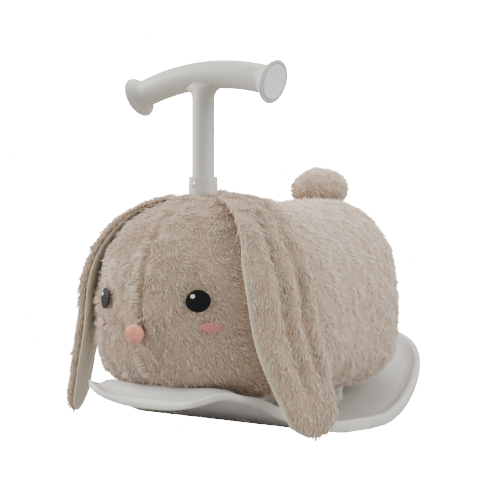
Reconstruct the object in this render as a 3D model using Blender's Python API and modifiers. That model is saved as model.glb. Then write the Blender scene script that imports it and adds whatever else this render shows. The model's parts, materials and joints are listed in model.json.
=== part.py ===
"""A plush ride-on rabbit on a moulded rocker board, with a T handlebar, in metres, +Z up.

The rabbit faces -Y. The origin lies on the floor under the flat of the rocker's belly.
"""

import math

import bmesh
import bpy
from mathutils import Matrix, Vector
from mathutils.bvhtree import BVHTree

# Fits
SLOPE_STEP_SHARE = 0.01  # how near two points are that a slope is read from
CLEARANCE = 0.0003  # gap between two pieces that rest on or in each other
CUT_OVERRUN = 0.02  # how far a cutter runs past the wall it cuts
SEAM_GAP = 0.0004  # between the head and the body along their seam
MERGE_DISTANCE = 0.00002

# The rocker board
BOARD_THICKNESS = 0.005
BOARD_FRONT = 0.203  # from the origin to the front edge
BOARD_REAR = 0.290
BOARD_HALF_WIDTH = 0.153
BOARD_REAR_RISE = 0.085
BOARD_CREST_RISE = 0.046  # the cross ridge behind the front edge
BOARD_CORNER_LIFT = 0.005  # how far the two front corners turn up
BOARD_STEPS_WIDE = 12
BOARD_CORNER_PLACE_SHARE = 0.95  # where the turned-up corners peak, as a share of BOARD_FRONT
BOARD_CORNER_RUN_SHARE = 0.33
RIM_WIDTH = 0.007
RIM_HEIGHT = 0.006
RIM_RUN_SHARE = 1.8  # where the rim's inner slope ends, as a share of its width
RIM_MOST_SHARE = 0.2
# Place as a share of BOARD_FRONT, share of the half width, rise of the underside as a share of the crest's
BOARD_FRONT_STATION_SHARES = (
    (-1.00, 0.40, 0.80),
    (-0.985, 0.50, 0.87),
    (-0.96, 0.575, 0.96),
    (-0.925, 0.63, 1.00),
    (-0.87, 0.675, 0.94),
    (-0.78, 0.705, 0.81),
    (-0.66, 0.735, 0.60),
    (-0.51, 0.765, 0.37),
    (-0.36, 0.80, 0.19),
    (-0.21, 0.855, 0.07),
    (-0.10, 0.89, 0.00),
    (0.00, 0.925, 0.00),
)
# The same for the rear, of BOARD_REAR and BOARD_REAR_RISE
BOARD_REAR_STATION_SHARES = (
    (0.00, 0.925, 0.00),
    (0.07, 0.96, 0.00),
    (0.17, 1.00, 0.022),
    (0.28, 0.99, 0.088),
    (0.40, 0.95, 0.18),
    (0.52, 0.895, 0.30),
    (0.64, 0.825, 0.44),
    (0.76, 0.735, 0.59),
    (0.86, 0.615, 0.73),
    (0.93, 0.485, 0.84),
    (0.975, 0.33, 0.93),
    (1.00, 0.12, 1.00),
)

# The inner core and what fastens it to the board
CORE_HALF_WIDTH = 0.075
CORE_FRONT = 0.130
CORE_REAR = 0.138
CORE_BOTTOM = 0.052
CORE_HEIGHT = 0.150
CORE_EDGE = 0.018
BOLT_SPREAD = 0.050  # each side of the middle
BOLT_FRONT = 0.085
BOLT_REAR = 0.105
BOLT_RADIUS = 0.003
BOLT_GRIP = 0.028  # length of shank inside the core
BOLT_HEAD_RADIUS = 0.0055
BOLT_HEAD_HEIGHT = 0.004
BOSS_WALL = 0.0035
BOSS_FLOOR = 0.004  # web that the bolt's head bears on
NUT_RADIUS = 0.006
NUT_LENGTH = 0.014

# The plush rabbit
RABBIT_FRONT = 0.216
RABBIT_REAR = 0.213
RABBIT_HALF_WIDTH = 0.145
RABBIT_BOTTOM = 0.050
RABBIT_TOP = 0.270
RABBIT_LENGTH_POWER = 2.9  # how square the ends are
RABBIT_FACE_PLAN_POWER = 2.0  # how square the face and the rump are in plan
RABBIT_RUMP_POWER = 3.6
RABBIT_RUMP_PLAN_POWER = 2.4
RABBIT_WAIST_SHARE = 0.40  # the widest level, as a share of the height
RABBIT_ROUND_POWER = 2.35  # how square a cross-section is above its widest place
RABBIT_BASE_POWER = 3.4  # and below it
RABBIT_SEGMENTS = 40
RABBIT_RINGS = 26
# Place along the length, top and bottom as shares of the height, share of the half width
RABBIT_STATION_SHARES = (
    (-1.00, 1.01, -0.09, 0.86),
    (-0.70, 1.02, -0.085, 1.05),
    (-0.40, 1.01, -0.07, 1.04),
    (-0.15, 0.99, -0.065, 1.00),
    (0.10, 0.965, -0.075, 0.97),
    (0.35, 0.99, -0.085, 0.955),
    (0.60, 1.05, -0.09, 0.945),
    (1.00, 1.16, -0.06, 0.91),
)
SEAM_PLACE = -0.104  # the seam between head and body, and the stem's axis

# Ears
EAR_ROOT_ANGLE = math.radians(79)  # up the rabbit's cross-section from its widest point
EAR_LENGTH_DOWN = 0.116  # from the widest point down to the tip
EAR_SPLAY = 0.030  # how far the tip stands out from the widest point
EAR_FORWARD_ROOT = -0.104
EAR_FORWARD_RUN = 0.038  # how far the ear sweeps forward over the head's corner
EAR_HALF_WIDTH = 0.038
EAR_THICKNESS = 0.015
EAR_LINING_THICKNESS = 0.003
EAR_SEGMENTS = 18
EAR_RINGS = 26
EAR_POWER = 2.6
# Place from root to tip, share of the sweep forward
EAR_SWEEP_SHARES = (
    (0.00, 0.00),
    (0.10, 0.25),
    (0.25, 0.82),
    (0.40, 1.00),
    (0.56, 0.95),
    (1.00, 0.66),
)
EAR_SWEEP_BLEND_SHARE = 0.05
# Place from root to tip, share of the half width, share of the thickness
EAR_WIDTH_SHARES = (
    (0.00, 0.58, 0.20),
    (0.14, 0.74, 0.46),
    (0.28, 0.90, 0.78),
    (0.44, 1.00, 1.00),
    (0.62, 1.00, 1.00),
    (0.74, 0.94, 1.00),
    (0.84, 0.84, 1.00),
    (0.92, 0.75, 0.95),
    (1.00, 0.66, 0.80),
)
EAR_ARC_SHARE = 0.56  # share of the ear that lies over the rabbit's shoulder
EAR_END_SHARE = 5.0  # how soon the ends reach their full width
EAR_END_POWER = 0.5
EAR_POLE_SHARE = 0.25
EAR_LINING_TRIM = 0.004
EAR_BODY_GAP = 0.0010
EAR_SMOOTH_PASSES = 3

# Tail and face
TAIL_PLACE = 0.150
TAIL_HALF_WIDTH = 0.040
TAIL_HALF_HEIGHT = 0.031
TAIL_SINK_SHARE = 0.64  # share of its half height below the rump's surface
NOSE_RADIUS = 0.0100
NOSE_HEIGHT = 0.117
EYE_RADIUS = 0.0115
EYE_SPREAD = 0.0640
EYE_HEIGHT = 0.152
CHEEK_HALF_WIDTH = 0.0100
CHEEK_HALF_HEIGHT = 0.0051
CHEEK_SPREAD = 0.0760
CHEEK_HEIGHT = 0.125
NOSE_PROUD_SHARE = 0.50
PATCH_PROUD = 0.0012
PATCH_DEPTH = 0.010
FACE_SEGMENTS = 20

# Handlebar and its socket
STEM_RADIUS = 0.0127
STEM_BOTTOM = 0.135
BAR_HEIGHT = 0.4011  # axis of the bar at its middle
BAR_RADIUS = 0.0158
BAR_HALF_SPAN = 0.0935
BAR_END_ANGLE = math.radians(19)
BAR_STEPS = 17
FLARE_EDGE = 0.0012
FLARE_LENGTH = 0.013
FLARE_RADIUS = 0.0240
FLARE_LIP = 0.003
# Place along the flare and growth from the bar's radius to the flare's
FLARE_CURVE_SHARES = ((0.30, 0.45), (0.70, 0.12))
CAP_RADIUS = 0.0195
CAP_DEPTH = 0.0030
CAP_PROUD = 0.0008
CAP_CROWN_SHARES = (0.7, 0.4)  # of the cap's radius, and of how far it stands proud
COLLAR_TOP = 0.2870
COLLAR_RADIUS = 0.0163
COLLAR_FLARE = 0.0010
COLLAR_FLOOR = 0.004
COLLAR_EDGE = 0.0015
SCREW_DROP = 0.0095  # from the collar's top to the screw's axis
SCREW_HEIGHT = COLLAR_TOP - SCREW_DROP
SCREW_RADIUS = 0.0020
SCREW_HEAD_RADIUS = 0.0034
SCREW_HEAD_HEIGHT = 0.0015
SCREW_CROWN_SHARES = (0.6, 0.15, 0.6)  # of the head's radius, and of its height there and at its edge
ROUND_SEGMENTS = 24
SMALL_SEGMENTS = 12  # bolts, nuts and screws


def clear_scene():
    for old in list(bpy.data.objects):
        bpy.data.objects.remove(old)


def make_collection(name):
    collection = bpy.data.collections.new(name)
    bpy.context.scene.collection.children.link(collection)
    return collection


clear_scene()
PARTS = make_collection("plush_ride_on")
CUTTERS = make_collection("cutters")
CUTTERS.hide_render = True


def finish_material(name, colour, roughness, metallic=0.0):
    material = bpy.data.materials.new(name)
    material.use_nodes = True
    shader = material.node_tree.nodes["Principled BSDF"]
    shader.inputs["Base Color"].default_value = (*colour, 1.0)
    shader.inputs["Roughness"].default_value = roughness
    shader.inputs["Metallic"].default_value = metallic
    return material


PLUSH = finish_material("taupe_plush", (0.56, 0.45, 0.36), 0.95)
LINING = finish_material("cream_velour", (0.80, 0.76, 0.66), 0.9)
BOARD = finish_material("warm_white_plastic", (0.78, 0.76, 0.72), 0.45)
GREY = finish_material("pale_grey_plastic", (0.66, 0.66, 0.63), 0.5)
CAP = finish_material("cap_plastic", (0.74, 0.73, 0.76), 0.45)
STEEL = finish_material("zinc_steel", (0.72, 0.72, 0.73), 0.3, 1.0)
CORE = finish_material("core_foam_board", (0.80, 0.72, 0.55), 0.8)
BLACK = finish_material("black_thread", (0.02, 0.02, 0.02), 0.6)
PINK = finish_material("pink_thread", (0.82, 0.48, 0.47), 0.7)
CORAL = finish_material("coral_felt", (0.90, 0.48, 0.38), 0.9)


def blend(low, high, share):
    return low + (high - low) * share


def table_slope(table, index, column):
    """The slope of a smooth curve at a station, zero at a high or low point so that it never overshoots."""
    if index in (0, len(table) - 1):
        near = (0, 1) if index == 0 else (-2, -1)
        low, high = table[near[0]], table[near[1]]
        return (high[column] - low[column]) / (high[0] - low[0])
    before, here, after = table[index - 1 : index + 2]
    first = (here[column] - before[column]) / (here[0] - before[0])
    second = (after[column] - here[column]) / (after[0] - here[0])
    return 2 * first * second / (first + second) if first * second > 0 else 0.0


def from_table(table, place, column):
    """Smoothly read a column of a table of stations at a place."""
    if place <= table[0][0]:
        return table[0][column]
    for index, (before, after) in enumerate(zip(table, table[1:])):
        if place <= after[0]:
            run = after[0] - before[0]
            share = (place - before[0]) / run
            rise = after[column] - before[column]
            start = table_slope(table, index, column) * run
            end = table_slope(table, index + 1, column) * run
            return before[column] + share * (
                start + share * (3 * rise - 2 * start - end + share * (start + end - 2 * rise))
            )
    return table[-1][column]


def face_out(form):
    """Merge doubled points and turn every face of a closed form outwards."""
    bmesh.ops.remove_doubles(form, verts=form.verts, dist=MERGE_DISTANCE)
    bmesh.ops.recalc_face_normals(form, faces=form.faces)
    if form.calc_volume(signed=True) < 0:
        bmesh.ops.reverse_faces(form, faces=form.faces)


def add_object(name, form, material, collection=None, smooth=True):
    """Turn a bmesh into an object of the part, and free the bmesh."""
    mesh = bpy.data.meshes.new(name)
    form.to_mesh(mesh)
    form.free()
    mesh.materials.append(material)
    thing = bpy.data.objects.new(name, mesh)
    (collection or PARTS).objects.link(thing)
    if smooth:
        mesh.shade_smooth()
        mesh.set_sharp_from_angle(angle=math.radians(40))
    return thing


def add_cutter(name, form):
    cutter = add_object(name, form, GREY, CUTTERS, smooth=False)
    cutter.hide_render = True
    cutter.display_type = "WIRE"
    return cutter


def combine(thing, cutter, operation="DIFFERENCE"):
    modifier = thing.modifiers.new(cutter.name, "BOOLEAN")
    modifier.operation = operation
    modifier.object = cutter
    return modifier


def round_bar(radius, start, end, segments=ROUND_SEGMENTS):
    """A closed cylinder between two points."""
    form = bmesh.new()
    axis = Vector(end) - Vector(start)
    turn = axis.to_track_quat("Z", "Y").to_matrix().to_4x4()
    place = Matrix.Translation((Vector(start) + Vector(end)) / 2) @ turn
    bmesh.ops.create_cone(
        form,
        cap_ends=True,
        segments=segments,
        radius1=radius,
        radius2=radius,
        depth=axis.length,
        matrix=place,
    )
    return form


def small_bar(radius, start, end):
    """The bore of a bolt, nut or screw, turned so that its facets lie over theirs."""
    return round_bar(radius / math.cos(math.pi / SMALL_SEGMENTS), start, end, SMALL_SEGMENTS)


def box_form(low, high):
    form = bmesh.new()
    centre = (Vector(low) + Vector(high)) / 2
    size = Vector(high) - Vector(low)
    bmesh.ops.create_cube(form, size=1.0, matrix=Matrix.Translation(centre) @ Matrix.Diagonal((*size, 1.0)))
    return form


def turned(name, profile, material, place=None, collection=None, segments=ROUND_SEGMENTS):
    """A solid turned about Z from a profile of (radius, height), top to bottom down its outer side."""
    mesh = bpy.data.meshes.new(name)
    form = bmesh.new()
    points = [form.verts.new((radius, 0, height)) for radius, height in profile]
    for a, b in zip(points, points[1:]):
        form.edges.new((a, b))
    form.to_mesh(mesh)
    form.free()
    mesh.materials.append(material)
    thing = bpy.data.objects.new(name, mesh)
    (collection or PARTS).objects.link(thing)
    if place:
        thing.matrix_world = place
    screw = thing.modifiers.new("turn", "SCREW")
    screw.steps = segments
    screw.render_steps = segments
    screw.use_merge_vertices = True
    screw.merge_threshold = MERGE_DISTANCE
    return thing


def solid_copy(thing, name, material):
    """A new object that holds the evaluated mesh of another, in place, which is then removed."""
    bpy.context.view_layer.update()
    graph = bpy.context.evaluated_depsgraph_get()
    mesh = bpy.data.meshes.new_from_object(thing.evaluated_get(graph))
    mesh.transform(thing.matrix_world)
    form = bmesh.new()
    form.from_mesh(mesh)
    bpy.data.meshes.remove(mesh)
    bpy.data.objects.remove(thing)
    face_out(form)
    return add_object(name, form, material)


def superellipse(angle, power):
    """The point of a unit superellipse at an angle."""
    along, up = math.cos(angle), math.sin(angle)
    scale = (abs(along) ** power + abs(up) ** power) ** (-1 / power)
    return along * scale, up * scale


def rabbit_point(place, angle, out=0.0):
    """A point of the rabbit's surface: place from -1 at the face to 1 at the rump, angle round the section."""
    length_power = RABBIT_LENGTH_POWER if place < 0 else RABBIT_RUMP_POWER
    full = max(0.0, 1 - abs(place) ** length_power)
    wide_girth = full ** (1 / (RABBIT_FACE_PLAN_POWER if place < 0 else RABBIT_RUMP_PLAN_POWER))
    girth = full ** (1 / length_power)
    across, up = superellipse(angle, RABBIT_ROUND_POWER if math.sin(angle) > 0 else RABBIT_BASE_POWER)
    height = RABBIT_TOP - RABBIT_BOTTOM
    top = RABBIT_BOTTOM + height * from_table(RABBIT_STATION_SHARES, place, 1)
    bottom = RABBIT_BOTTOM + height * from_table(RABBIT_STATION_SHARES, place, 2)
    half_width = RABBIT_HALF_WIDTH * from_table(RABBIT_STATION_SHARES, place, 3)
    middle = blend(bottom, top, RABBIT_WAIST_SHARE)
    reach = top - middle if up > 0 else middle - bottom
    length = RABBIT_FRONT if place < 0 else RABBIT_REAR
    return Vector(
        (
            (half_width * wide_girth + out) * across,
            (length + out) * place,
            middle + (reach * girth + out) * up,
        )
    )


def rabbit_outward(place, angle):
    """The direction straight out of the rabbit's surface."""
    step = SLOPE_STEP_SHARE
    along = rabbit_point(place + step, angle) - rabbit_point(place - step, angle)
    around = rabbit_point(place, angle + step) - rabbit_point(place, angle - step)
    return along.cross(around).normalized()


def rabbit_form(out=0.0):
    """The rabbit's whole stuffed loaf, grown outwards by a small distance."""
    form = bmesh.new()
    bmesh.ops.create_uvsphere(form, u_segments=RABBIT_SEGMENTS, v_segments=RABBIT_RINGS, radius=1.0)
    for vertex in form.verts:
        x, y, z = vertex.co
        polar = math.acos(max(-1.0, min(1.0, z)))
        along, _ = superellipse(polar, RABBIT_LENGTH_POWER)
        vertex.co = rabbit_point(max(-1.0, min(1.0, along)), math.atan2(y, x), out)
    face_out(form)
    return form


def cut_half(form, keep_front):
    """Keep the part of a closed form on one side of the seam, and cap it."""
    side = -1 if keep_front else 1
    place = SEAM_PLACE + side * SEAM_GAP / 2
    geometry = form.verts[:] + form.edges[:] + form.faces[:]
    cut = bmesh.ops.bisect_plane(
        form, geom=geometry, plane_co=(0, place, 0), plane_no=(0, -side, 0), clear_outer=True
    )
    edges = [item for item in cut["geom_cut"] if isinstance(item, bmesh.types.BMEdge)]
    bmesh.ops.holes_fill(form, edges=edges)
    face_out(form)


def core_box(grow=0.0, drop=0.0):
    form = box_form(
        (-CORE_HALF_WIDTH - grow, -CORE_FRONT - grow, CORE_BOTTOM - drop),
        (CORE_HALF_WIDTH + grow, CORE_REAR + grow, CORE_BOTTOM + CORE_HEIGHT + grow),
    )
    upright = [edge for edge in form.edges if abs(edge.verts[0].co.z - edge.verts[1].co.z) > CORE_EDGE]
    top = [edge for edge in form.edges if min(v.co.z for v in edge.verts) > CORE_BOTTOM + CORE_HEIGHT / 2]
    bmesh.ops.bevel(
        form,
        geom=upright + top,
        offset=CORE_EDGE + grow,
        segments=4,
        profile=0.5,
        affect="EDGES",
        material=-1,
    )
    return form


def board_station(place):
    """Half width and underside rise of the board at a place along Y."""
    if place < 0:
        share = place / BOARD_FRONT
        wide = from_table(BOARD_FRONT_STATION_SHARES, share, 1)
        rise = from_table(BOARD_FRONT_STATION_SHARES, share, 2) * BOARD_CREST_RISE
    else:
        share = place / BOARD_REAR
        wide = from_table(BOARD_REAR_STATION_SHARES, share, 1)
        rise = from_table(BOARD_REAR_STATION_SHARES, share, 2) * BOARD_REAR_RISE
    return wide * BOARD_HALF_WIDTH, rise


def board_places():
    """The stations' places along Y, from the front edge to the rear edge."""
    places = [share * BOARD_FRONT for share, _, _ in BOARD_FRONT_STATION_SHARES]
    return places + [share * BOARD_REAR for share, _, _ in BOARD_REAR_STATION_SHARES[1:]]


def board_outline():
    """The board's edge in plan, as a closed run of points."""
    places = board_places()
    right = [Vector((board_station(place)[0], place)) for place in places]
    left = [Vector((-point.x, point.y)) for point in reversed(right)]
    return right + left


def edge_distance(point, outline):
    """How far a point in plan lies inside the board's edge."""
    nearest = BOARD_REAR
    for a, b in zip(outline, outline[1:] + outline[:1]):
        run = b - a
        share = max(0.0, min(1.0, (point - a).dot(run) / run.length_squared))
        nearest = min(nearest, (a + run * share - point).length)
    return nearest


def board_form():
    """The wavy board: a grid bent to the stations and thickened, its corners turned up, its rim raised."""
    places = board_places()
    outline = board_outline()
    form = bmesh.new()
    rows = 2 * (len(places) - 1)
    bmesh.ops.create_grid(form, x_segments=BOARD_STEPS_WIDE, y_segments=rows, size=1.0)
    columns = BOARD_STEPS_WIDE // 2
    for vertex in form.verts:
        column = round(abs(vertex.co.x) * columns)
        exact = round((vertex.co.y + 1) / 2 * rows) / 2
        index = min(int(exact), len(places) - 2)
        place = blend(places[index], places[index + 1], exact - index)
        half_width, rise = board_station(place)
        rim = min(RIM_WIDTH, half_width * RIM_MOST_SHARE)
        from_edge = (0.0, rim, rim * RIM_RUN_SHARE)
        inner = half_width - from_edge[-1]
        if column > columns - 2:
            across = half_width - from_edge[columns - column]
        else:
            across = inner * column / (columns - 2)
        past = abs(place / BOARD_FRONT + BOARD_CORNER_PLACE_SHARE)
        corner = max(0.0, 1 - past / BOARD_CORNER_RUN_SHARE)
        lift = BOARD_CORNER_LIFT * math.sin(corner * math.pi / 2) * (across / half_width) ** 3
        vertex.co = (math.copysign(across, vertex.co.x), place, rise + lift)
    thick = bmesh.ops.extrude_face_region(form, geom=form.faces[:])
    for item in thick["geom"]:
        if isinstance(item, bmesh.types.BMVert):
            inside = edge_distance(item.co.xy, outline)
            slope = (RIM_RUN_SHARE - inside / RIM_WIDTH) / (RIM_RUN_SHARE - 1)
            item.co.z += BOARD_THICKNESS + RIM_HEIGHT * max(0.0, min(1.0, slope))
    face_out(form)
    return form


def bolt_places():
    return [(x, y) for y in (-BOLT_FRONT, BOLT_REAR) for x in (-BOLT_SPREAD, BOLT_SPREAD)]


def build_board():
    board = add_object("rocker_board", board_form(), BOARD)
    boss_top = CORE_BOTTOM - CLEARANCE
    for number, (x, y) in enumerate(bolt_places(), 1):
        foot = board_station(y)[1] + BOARD_THICKNESS / 2
        boss_radius = BOLT_HEAD_RADIUS + CLEARANCE + BOSS_WALL
        boss = add_cutter(f"boss_{number}", round_bar(boss_radius, (x, y, foot), (x, y, boss_top)))
        combine(board, boss, "UNION")
    for number, (x, y) in enumerate(bolt_places(), 1):
        wide = small_bar(BOLT_HEAD_RADIUS + CLEARANCE, (x, y, -CUT_OVERRUN), (x, y, boss_top - BOSS_FLOOR))
        combine(board, add_cutter(f"head_bore_{number}", wide))
        narrow = small_bar(BOLT_RADIUS + CLEARANCE, (x, y, 0), (x, y, boss_top + CUT_OVERRUN))
        combine(board, add_cutter(f"shank_bore_{number}", narrow))


def build_core():
    core = add_object("inner_core", core_box(), CORE, smooth=False)
    for number, (x, y) in enumerate(bolt_places(), 1):
        nut_bore = small_bar(
            NUT_RADIUS + CLEARANCE,
            (x, y, CORE_BOTTOM - CUT_OVERRUN),
            (x, y, CORE_BOTTOM + NUT_LENGTH + CLEARANCE),
        )
        combine(core, add_cutter(f"nut_bore_{number}", nut_bore))
        shank_bore = small_bar(
            BOLT_RADIUS + CLEARANCE, (x, y, CORE_BOTTOM), (x, y, CORE_BOTTOM + BOLT_GRIP + CLEARANCE)
        )
        combine(core, add_cutter(f"core_bore_{number}", shank_bore))
    socket_bore = round_bar(
        COLLAR_RADIUS + COLLAR_FLARE + CLEARANCE,
        (0, SEAM_PLACE, STEM_BOTTOM - COLLAR_FLOOR - 2 * CLEARANCE),
        (0, SEAM_PLACE, CORE_BOTTOM + CORE_HEIGHT + CUT_OVERRUN),
    )
    combine(core, add_cutter("socket_bore", socket_bore))


def build_bolts():
    web = CORE_BOTTOM - CLEARANCE - BOSS_FLOOR
    for number, (x, y) in enumerate(bolt_places(), 1):
        place = Matrix.Translation((x, y, 0))
        turned(
            f"base_bolt_{number}",
            (
                (0, CORE_BOTTOM + BOLT_GRIP),
                (BOLT_RADIUS, CORE_BOTTOM + BOLT_GRIP),
                (BOLT_RADIUS, web - CLEARANCE),
                (BOLT_HEAD_RADIUS, web - CLEARANCE),
                (BOLT_HEAD_RADIUS, web - CLEARANCE - BOLT_HEAD_HEIGHT),
                (0, web - CLEARANCE - BOLT_HEAD_HEIGHT),
            ),
            STEEL,
            place,
            segments=SMALL_SEGMENTS,
        )
        inner = BOLT_RADIUS + CLEARANCE
        turned(
            f"insert_nut_{number}",
            (
                (inner, CORE_BOTTOM),
                (inner, CORE_BOTTOM + NUT_LENGTH),
                (NUT_RADIUS, CORE_BOTTOM + NUT_LENGTH),
                (NUT_RADIUS, CORE_BOTTOM),
                (inner, CORE_BOTTOM),
            ),
            STEEL,
            place,
            segments=SMALL_SEGMENTS,
        )


def build_rabbit():
    """The stuffed head and body, which meet at the seam, round the core and the collar."""
    cavity = add_cutter("core_cavity", core_box(CLEARANCE, CORE_BOTTOM + CUT_OVERRUN))
    collar_way = add_cutter(
        "collar_way",
        round_bar(
            COLLAR_RADIUS + COLLAR_FLARE + CLEARANCE,
            (0, SEAM_PLACE, CORE_BOTTOM + CORE_HEIGHT / 2),
            (0, SEAM_PLACE, COLLAR_TOP + CUT_OVERRUN),
        ),
    )
    for name, front in (("plush_head", True), ("plush_body", False)):
        form = rabbit_form()
        cut_half(form, front)
        half = add_object(name, form, PLUSH)
        combine(half, cavity)
        combine(half, collar_way)


def ear_sweep(share):
    """How far the ear has swept forward, with its table's corners rounded."""
    places = (share - EAR_SWEEP_BLEND_SHARE, share, share + EAR_SWEEP_BLEND_SHARE)
    shares = [from_table(EAR_SWEEP_SHARES, min(max(place, 0.0), 1.0), 1) for place in places]
    return EAR_FORWARD_RUN * sum(shares) / len(shares)


def smoothed(run):
    """A run of vectors, each but the ends drawn towards its neighbours."""
    inner = [(a + b * 2 + c) / 4 for a, b, c in zip(run, run[1:], run[2:])]
    return [run[0], *inner, run[-1]]


def ear_spine(side):
    """Points from the ear's root down to its tip, and the direction out of the rabbit at each."""
    points, outwards = [], []
    for step in range(EAR_RINGS + 1):
        share = step / EAR_RINGS
        y = EAR_FORWARD_ROOT - ear_sweep(share)
        place = y / RABBIT_FRONT
        angle = EAR_ROOT_ANGLE * max(0.0, 1 - share / EAR_ARC_SHARE)
        down = max(0.0, share - EAR_ARC_SHARE) / (1 - EAR_ARC_SHARE)
        at = rabbit_point(place, angle, EAR_BODY_GAP) + Vector((EAR_SPLAY, 0, -EAR_LENGTH_DOWN)) * down
        out = rabbit_outward(place, angle)
        points.append(Vector((side * at.x, y, at.z)))
        outwards.append(Vector((side * out.x, out.y, out.z)))
    for _ in range(EAR_SMOOTH_PASSES):
        points = smoothed(points)
        outwards = smoothed(outwards)
    return points, outwards


def ear_form(side, inner, outer, trim, flat_share):
    """An ear's layer between two distances from the rabbit's side, thinning to the face it is sewn along."""
    spine, outwards = ear_spine(side)
    form = bmesh.new()
    bmesh.ops.create_uvsphere(form, u_segments=EAR_SEGMENTS, v_segments=EAR_RINGS, radius=1.0)
    for vertex in form.verts:
        x, y, z = vertex.co
        polar = math.acos(max(-1.0, min(1.0, z)))
        share = polar / math.pi
        index = round(share * EAR_RINGS)
        at = spine[index]
        before, after = spine[max(index - 1, 0)], spine[min(index + 1, EAR_RINGS)]
        tangent = (after - before).normalized()
        outward = outwards[index]
        outward = (outward - tangent * outward.dot(tangent)).normalized()
        width_way = outward.cross(tangent).normalized() * side
        round_end = min(1.0, math.sin(polar) * EAR_END_SHARE) ** EAR_END_POWER
        along, up = superellipse(math.atan2(y, x), EAR_POWER)
        half_width = (EAR_HALF_WIDTH * from_table(EAR_WIDTH_SHARES, share, 1) - trim) * round_end
        flat = blend(inner, outer, flat_share)
        thick = max(round_end, EAR_POLE_SHARE) * from_table(EAR_WIDTH_SHARES, share, 2)
        across = (blend(inner, outer, (1 + up) / 2) - flat) * thick
        vertex.co = at + width_way * along * half_width + outward * (flat + across)
    face_out(form)
    return form


def build_ears():
    rabbit = add_cutter("ear_clearance", rabbit_form(EAR_BODY_GAP / 2))
    for name, side in (("left", 1), ("right", -1)):
        lining_top = EAR_LINING_THICKNESS
        outer = ear_form(side, lining_top + CLEARANCE, lining_top + EAR_THICKNESS, 0.0, 0)
        ear = add_object(f"{name}_ear", outer, PLUSH)
        combine(ear, rabbit)
        inner = ear_form(side, 0.0, lining_top, EAR_LINING_TRIM, 1)
        lining = add_object(f"{name}_ear_lining", inner, LINING)
        combine(lining, rabbit)


def surface_in_front(tree, x, z):
    """The rabbit's surface point and its normal, looking back from the front."""
    point, normal, _, _ = tree.ray_cast(Vector((x, -RABBIT_FRONT * 2, z)), Vector((0, 1, 0)))
    return point, normal


def build_face_and_tail():
    form = rabbit_form()
    tree = BVHTree.FromBMesh(form)
    form.free()
    body = add_cutter("patch_clearance", rabbit_form(CLEARANCE))
    patches = []
    for name, side in (("left", 1), ("right", -1)):
        patches.append((f"{name}_eye", side * EYE_SPREAD, EYE_HEIGHT, EYE_RADIUS, EYE_RADIUS, BLACK))
        cheek = (side * CHEEK_SPREAD, CHEEK_HEIGHT, CHEEK_HALF_WIDTH, CHEEK_HALF_HEIGHT)
        patches.append((f"{name}_cheek", *cheek, PINK))
    for name, x, z, half_width, half_height, material in patches:
        point, normal = surface_in_front(tree, x, z)
        patch = bmesh.new()
        facing = normal.to_track_quat("Z", "Y").to_matrix().to_4x4()
        centre = point + normal * (PATCH_PROUD - PATCH_DEPTH / 2)
        bmesh.ops.create_cone(
            patch,
            cap_ends=True,
            segments=FACE_SEGMENTS,
            radius1=1.0,
            radius2=1.0,
            depth=PATCH_DEPTH,
            matrix=Matrix.Translation(centre) @ facing @ Matrix.Diagonal((half_width, half_height, 1.0, 1.0)),
        )
        combine(add_object(name, patch, material), body)
    point, _ = surface_in_front(tree, 0.0, NOSE_HEIGHT)
    nose = bmesh.new()
    centre = point + Vector((0, -NOSE_RADIUS * NOSE_PROUD_SHARE, 0))
    bmesh.ops.create_uvsphere(
        nose, u_segments=FACE_SEGMENTS, v_segments=FACE_SEGMENTS // 2, radius=NOSE_RADIUS,
        matrix=Matrix.Translation(centre),
    )
    combine(add_object("nose", nose, CORAL), body)
    top, _, _, _ = tree.ray_cast(Vector((0, TAIL_PLACE, RABBIT_TOP * 2)), Vector((0, 0, -1)))
    tail = bmesh.new()
    size = (TAIL_HALF_WIDTH, TAIL_HALF_WIDTH, TAIL_HALF_HEIGHT, 1.0)
    centre = top + Vector((0, 0, TAIL_HALF_HEIGHT * (1 - TAIL_SINK_SHARE)))
    bmesh.ops.create_uvsphere(
        tail, u_segments=FACE_SEGMENTS, v_segments=FACE_SEGMENTS // 2, radius=1.0,
        matrix=Matrix.Translation(centre) @ Matrix.Diagonal(size),
    )
    combine(add_object("tail", tail, PLUSH), body)


def bar_point(angle):
    """A point on the bar's arched axis, at an angle from its middle."""
    bend = BAR_HALF_SPAN / math.sin(BAR_END_ANGLE)
    return Vector((bend * math.sin(angle), SEAM_PLACE, BAR_HEIGHT - bend * (1 - math.cos(angle))))


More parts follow.
